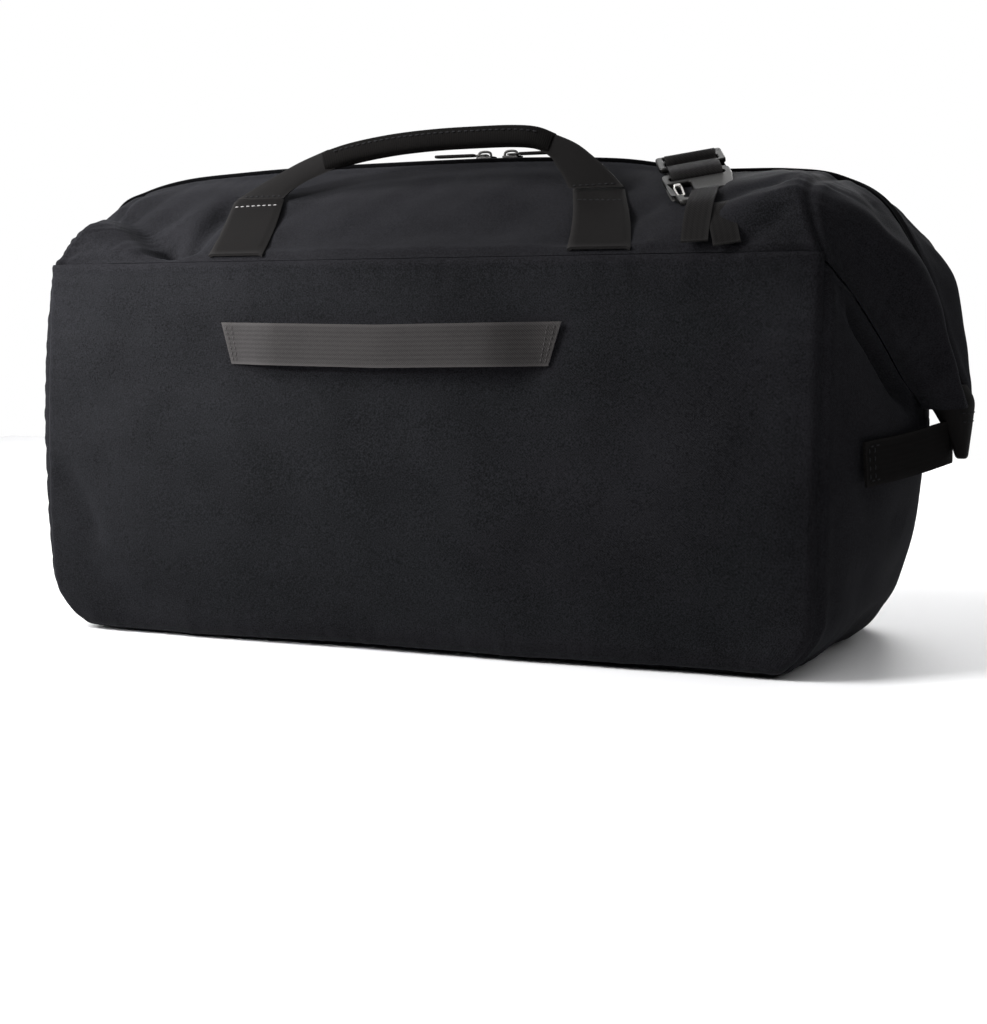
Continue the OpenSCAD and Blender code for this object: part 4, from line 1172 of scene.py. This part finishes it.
# The strap's slack run down the front panel and up to its hook: places, and how far it has turned over.
SLACK = [((147, 118, 229), 0), ((147, 121, 214), 6), ((146, 124, 196), 22), ((141, 128, 170), 45),
         ((130, 130.5, 140), 68), ((108, 131.5, 108), 84), ((76, 131.5, 82), 90), ((36, 131.5, 66), 90),
         ((-8, 131.5, 60), 90), ((-52, 131.5, 62), 90), ((-96, 131.5, 72), 90), ((-134, 130.5, 91), 96),
         ((-160, 128.5, 112), 112), ((-178, 125, 130), 142), ((-188, 121, 144), 166),
         ((-190, 117.6, 152), 178), ((-190, 116.6, 160), 180), ((-190, 117.6, 166), 180),
         ((-190, 118.9, 171.5), 180)]


def front_strap():
    """The rest of the strap: down the front shoulder, hanging slack, and up to the front hook."""
    places, turns = [(146.4, 1, 294.5)], [0]
    for v in (0.97, 0.82, 0.62, 0.42, 0.22, 0.06):
        place, up = on_top(147, v, 1)
        places.append((place + up * 3.2 * MM) / MM)
        turns.append(0)
    path = np.array(places + [place for place, _ in SLACK], float)
    angle = np.radians(turns + [turn for _, turn in SLACK])[:, None]
    ahead = unit(np.gradient(path, axis=0))
    flat = unit(np.cross(np.cross(ahead, [0, 1, 0.001]), ahead))
    sides = unit(np.cross(flat, ahead)) * np.cos(angle) + flat * np.sin(angle)
    strap = band("strap_front_webbing", path, sides, *STRAP, mat["webbing"], 320)[0]
    finish(strap, None, "webbing", "shoulder_strap")
    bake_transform(strap)


def loops():
    """The loops that hold the two hooks, each turning over its hook's own edge."""
    bend = [(0, -4.6 + 4 * math.sin(a), 4 * math.cos(a)) for a in np.radians(range(0, 181, 30))]
    points = seen(SHOULDER, [(180, -1, 5), (179, 8, 10), (177.5, 24, 16.5)]) + seen(HOOK_BACK, bend)
    points += seen(SHOULDER, [(186, 28, 15.8), (191, 16, 12.8), (195, 7, 8.8), (198, -1, 4.2)])
    lean = np.radians([6, 10, 15] + [24] * len(bend) + [22, 20, 20, 19])
    sides = [turned(SHOULDER, (math.cos(a), math.sin(a), 0)) for a in lean]
    loop = band("back_loop_webbing", points, sides, *LOOP, mat["webbing"], 90)[0]
    finish(loop, SHELL, "webbing", "back_strap_loop")
    points = [(-190, 110.5, 238), (-190, 112.6, 230)] + seen(HOOK_FRONT, bend)[::-1]
    points += [(-190, 119.0, 222), (-190, 113.5, 232), (-190, 110.8, 239)]
    loop = band("front_loop_webbing", points, (1, 0, 0), *LOOP, mat["webbing"], 90)[0]
    finish(loop, SHELL, "webbing", "front_strap_loop")


# ---------- everything together ----------

make_stage()
mat = make_materials()
side_panel("back_panel_cloth", -1, "back_panel")
side_panel("front_panel_cloth", 1, "front_panel")
end_panel("left_end_cloth", -1, "left_end_panel")
end_panel("right_end_cloth", 1, "right_end_panel")
base_panel()
inside_pieces()
for face in (-1, 1):
    for side in (-1, 1):
        top_half(face, side)
        zip_half(face, side)
        anchor(face, side)
    handle(face)
for side in (-1, 1):
    wing_end(side)
    zip_slider(side)
trolley_strap()
loops()
back_strap()
front_strap()
hook(HOOK_BACK, "back_hook_body", "back_gate", "back_hook", "back_hook_gate")
hook(HOOK_FRONT, "front_hook_body", "front_gate", "front_hook", "front_hook_gate")
adjuster()
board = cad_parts["base_board"]      # it is shown as its CAD solid, with a material of its own
for place in board.material_slots:
    place.material = mat["board"]
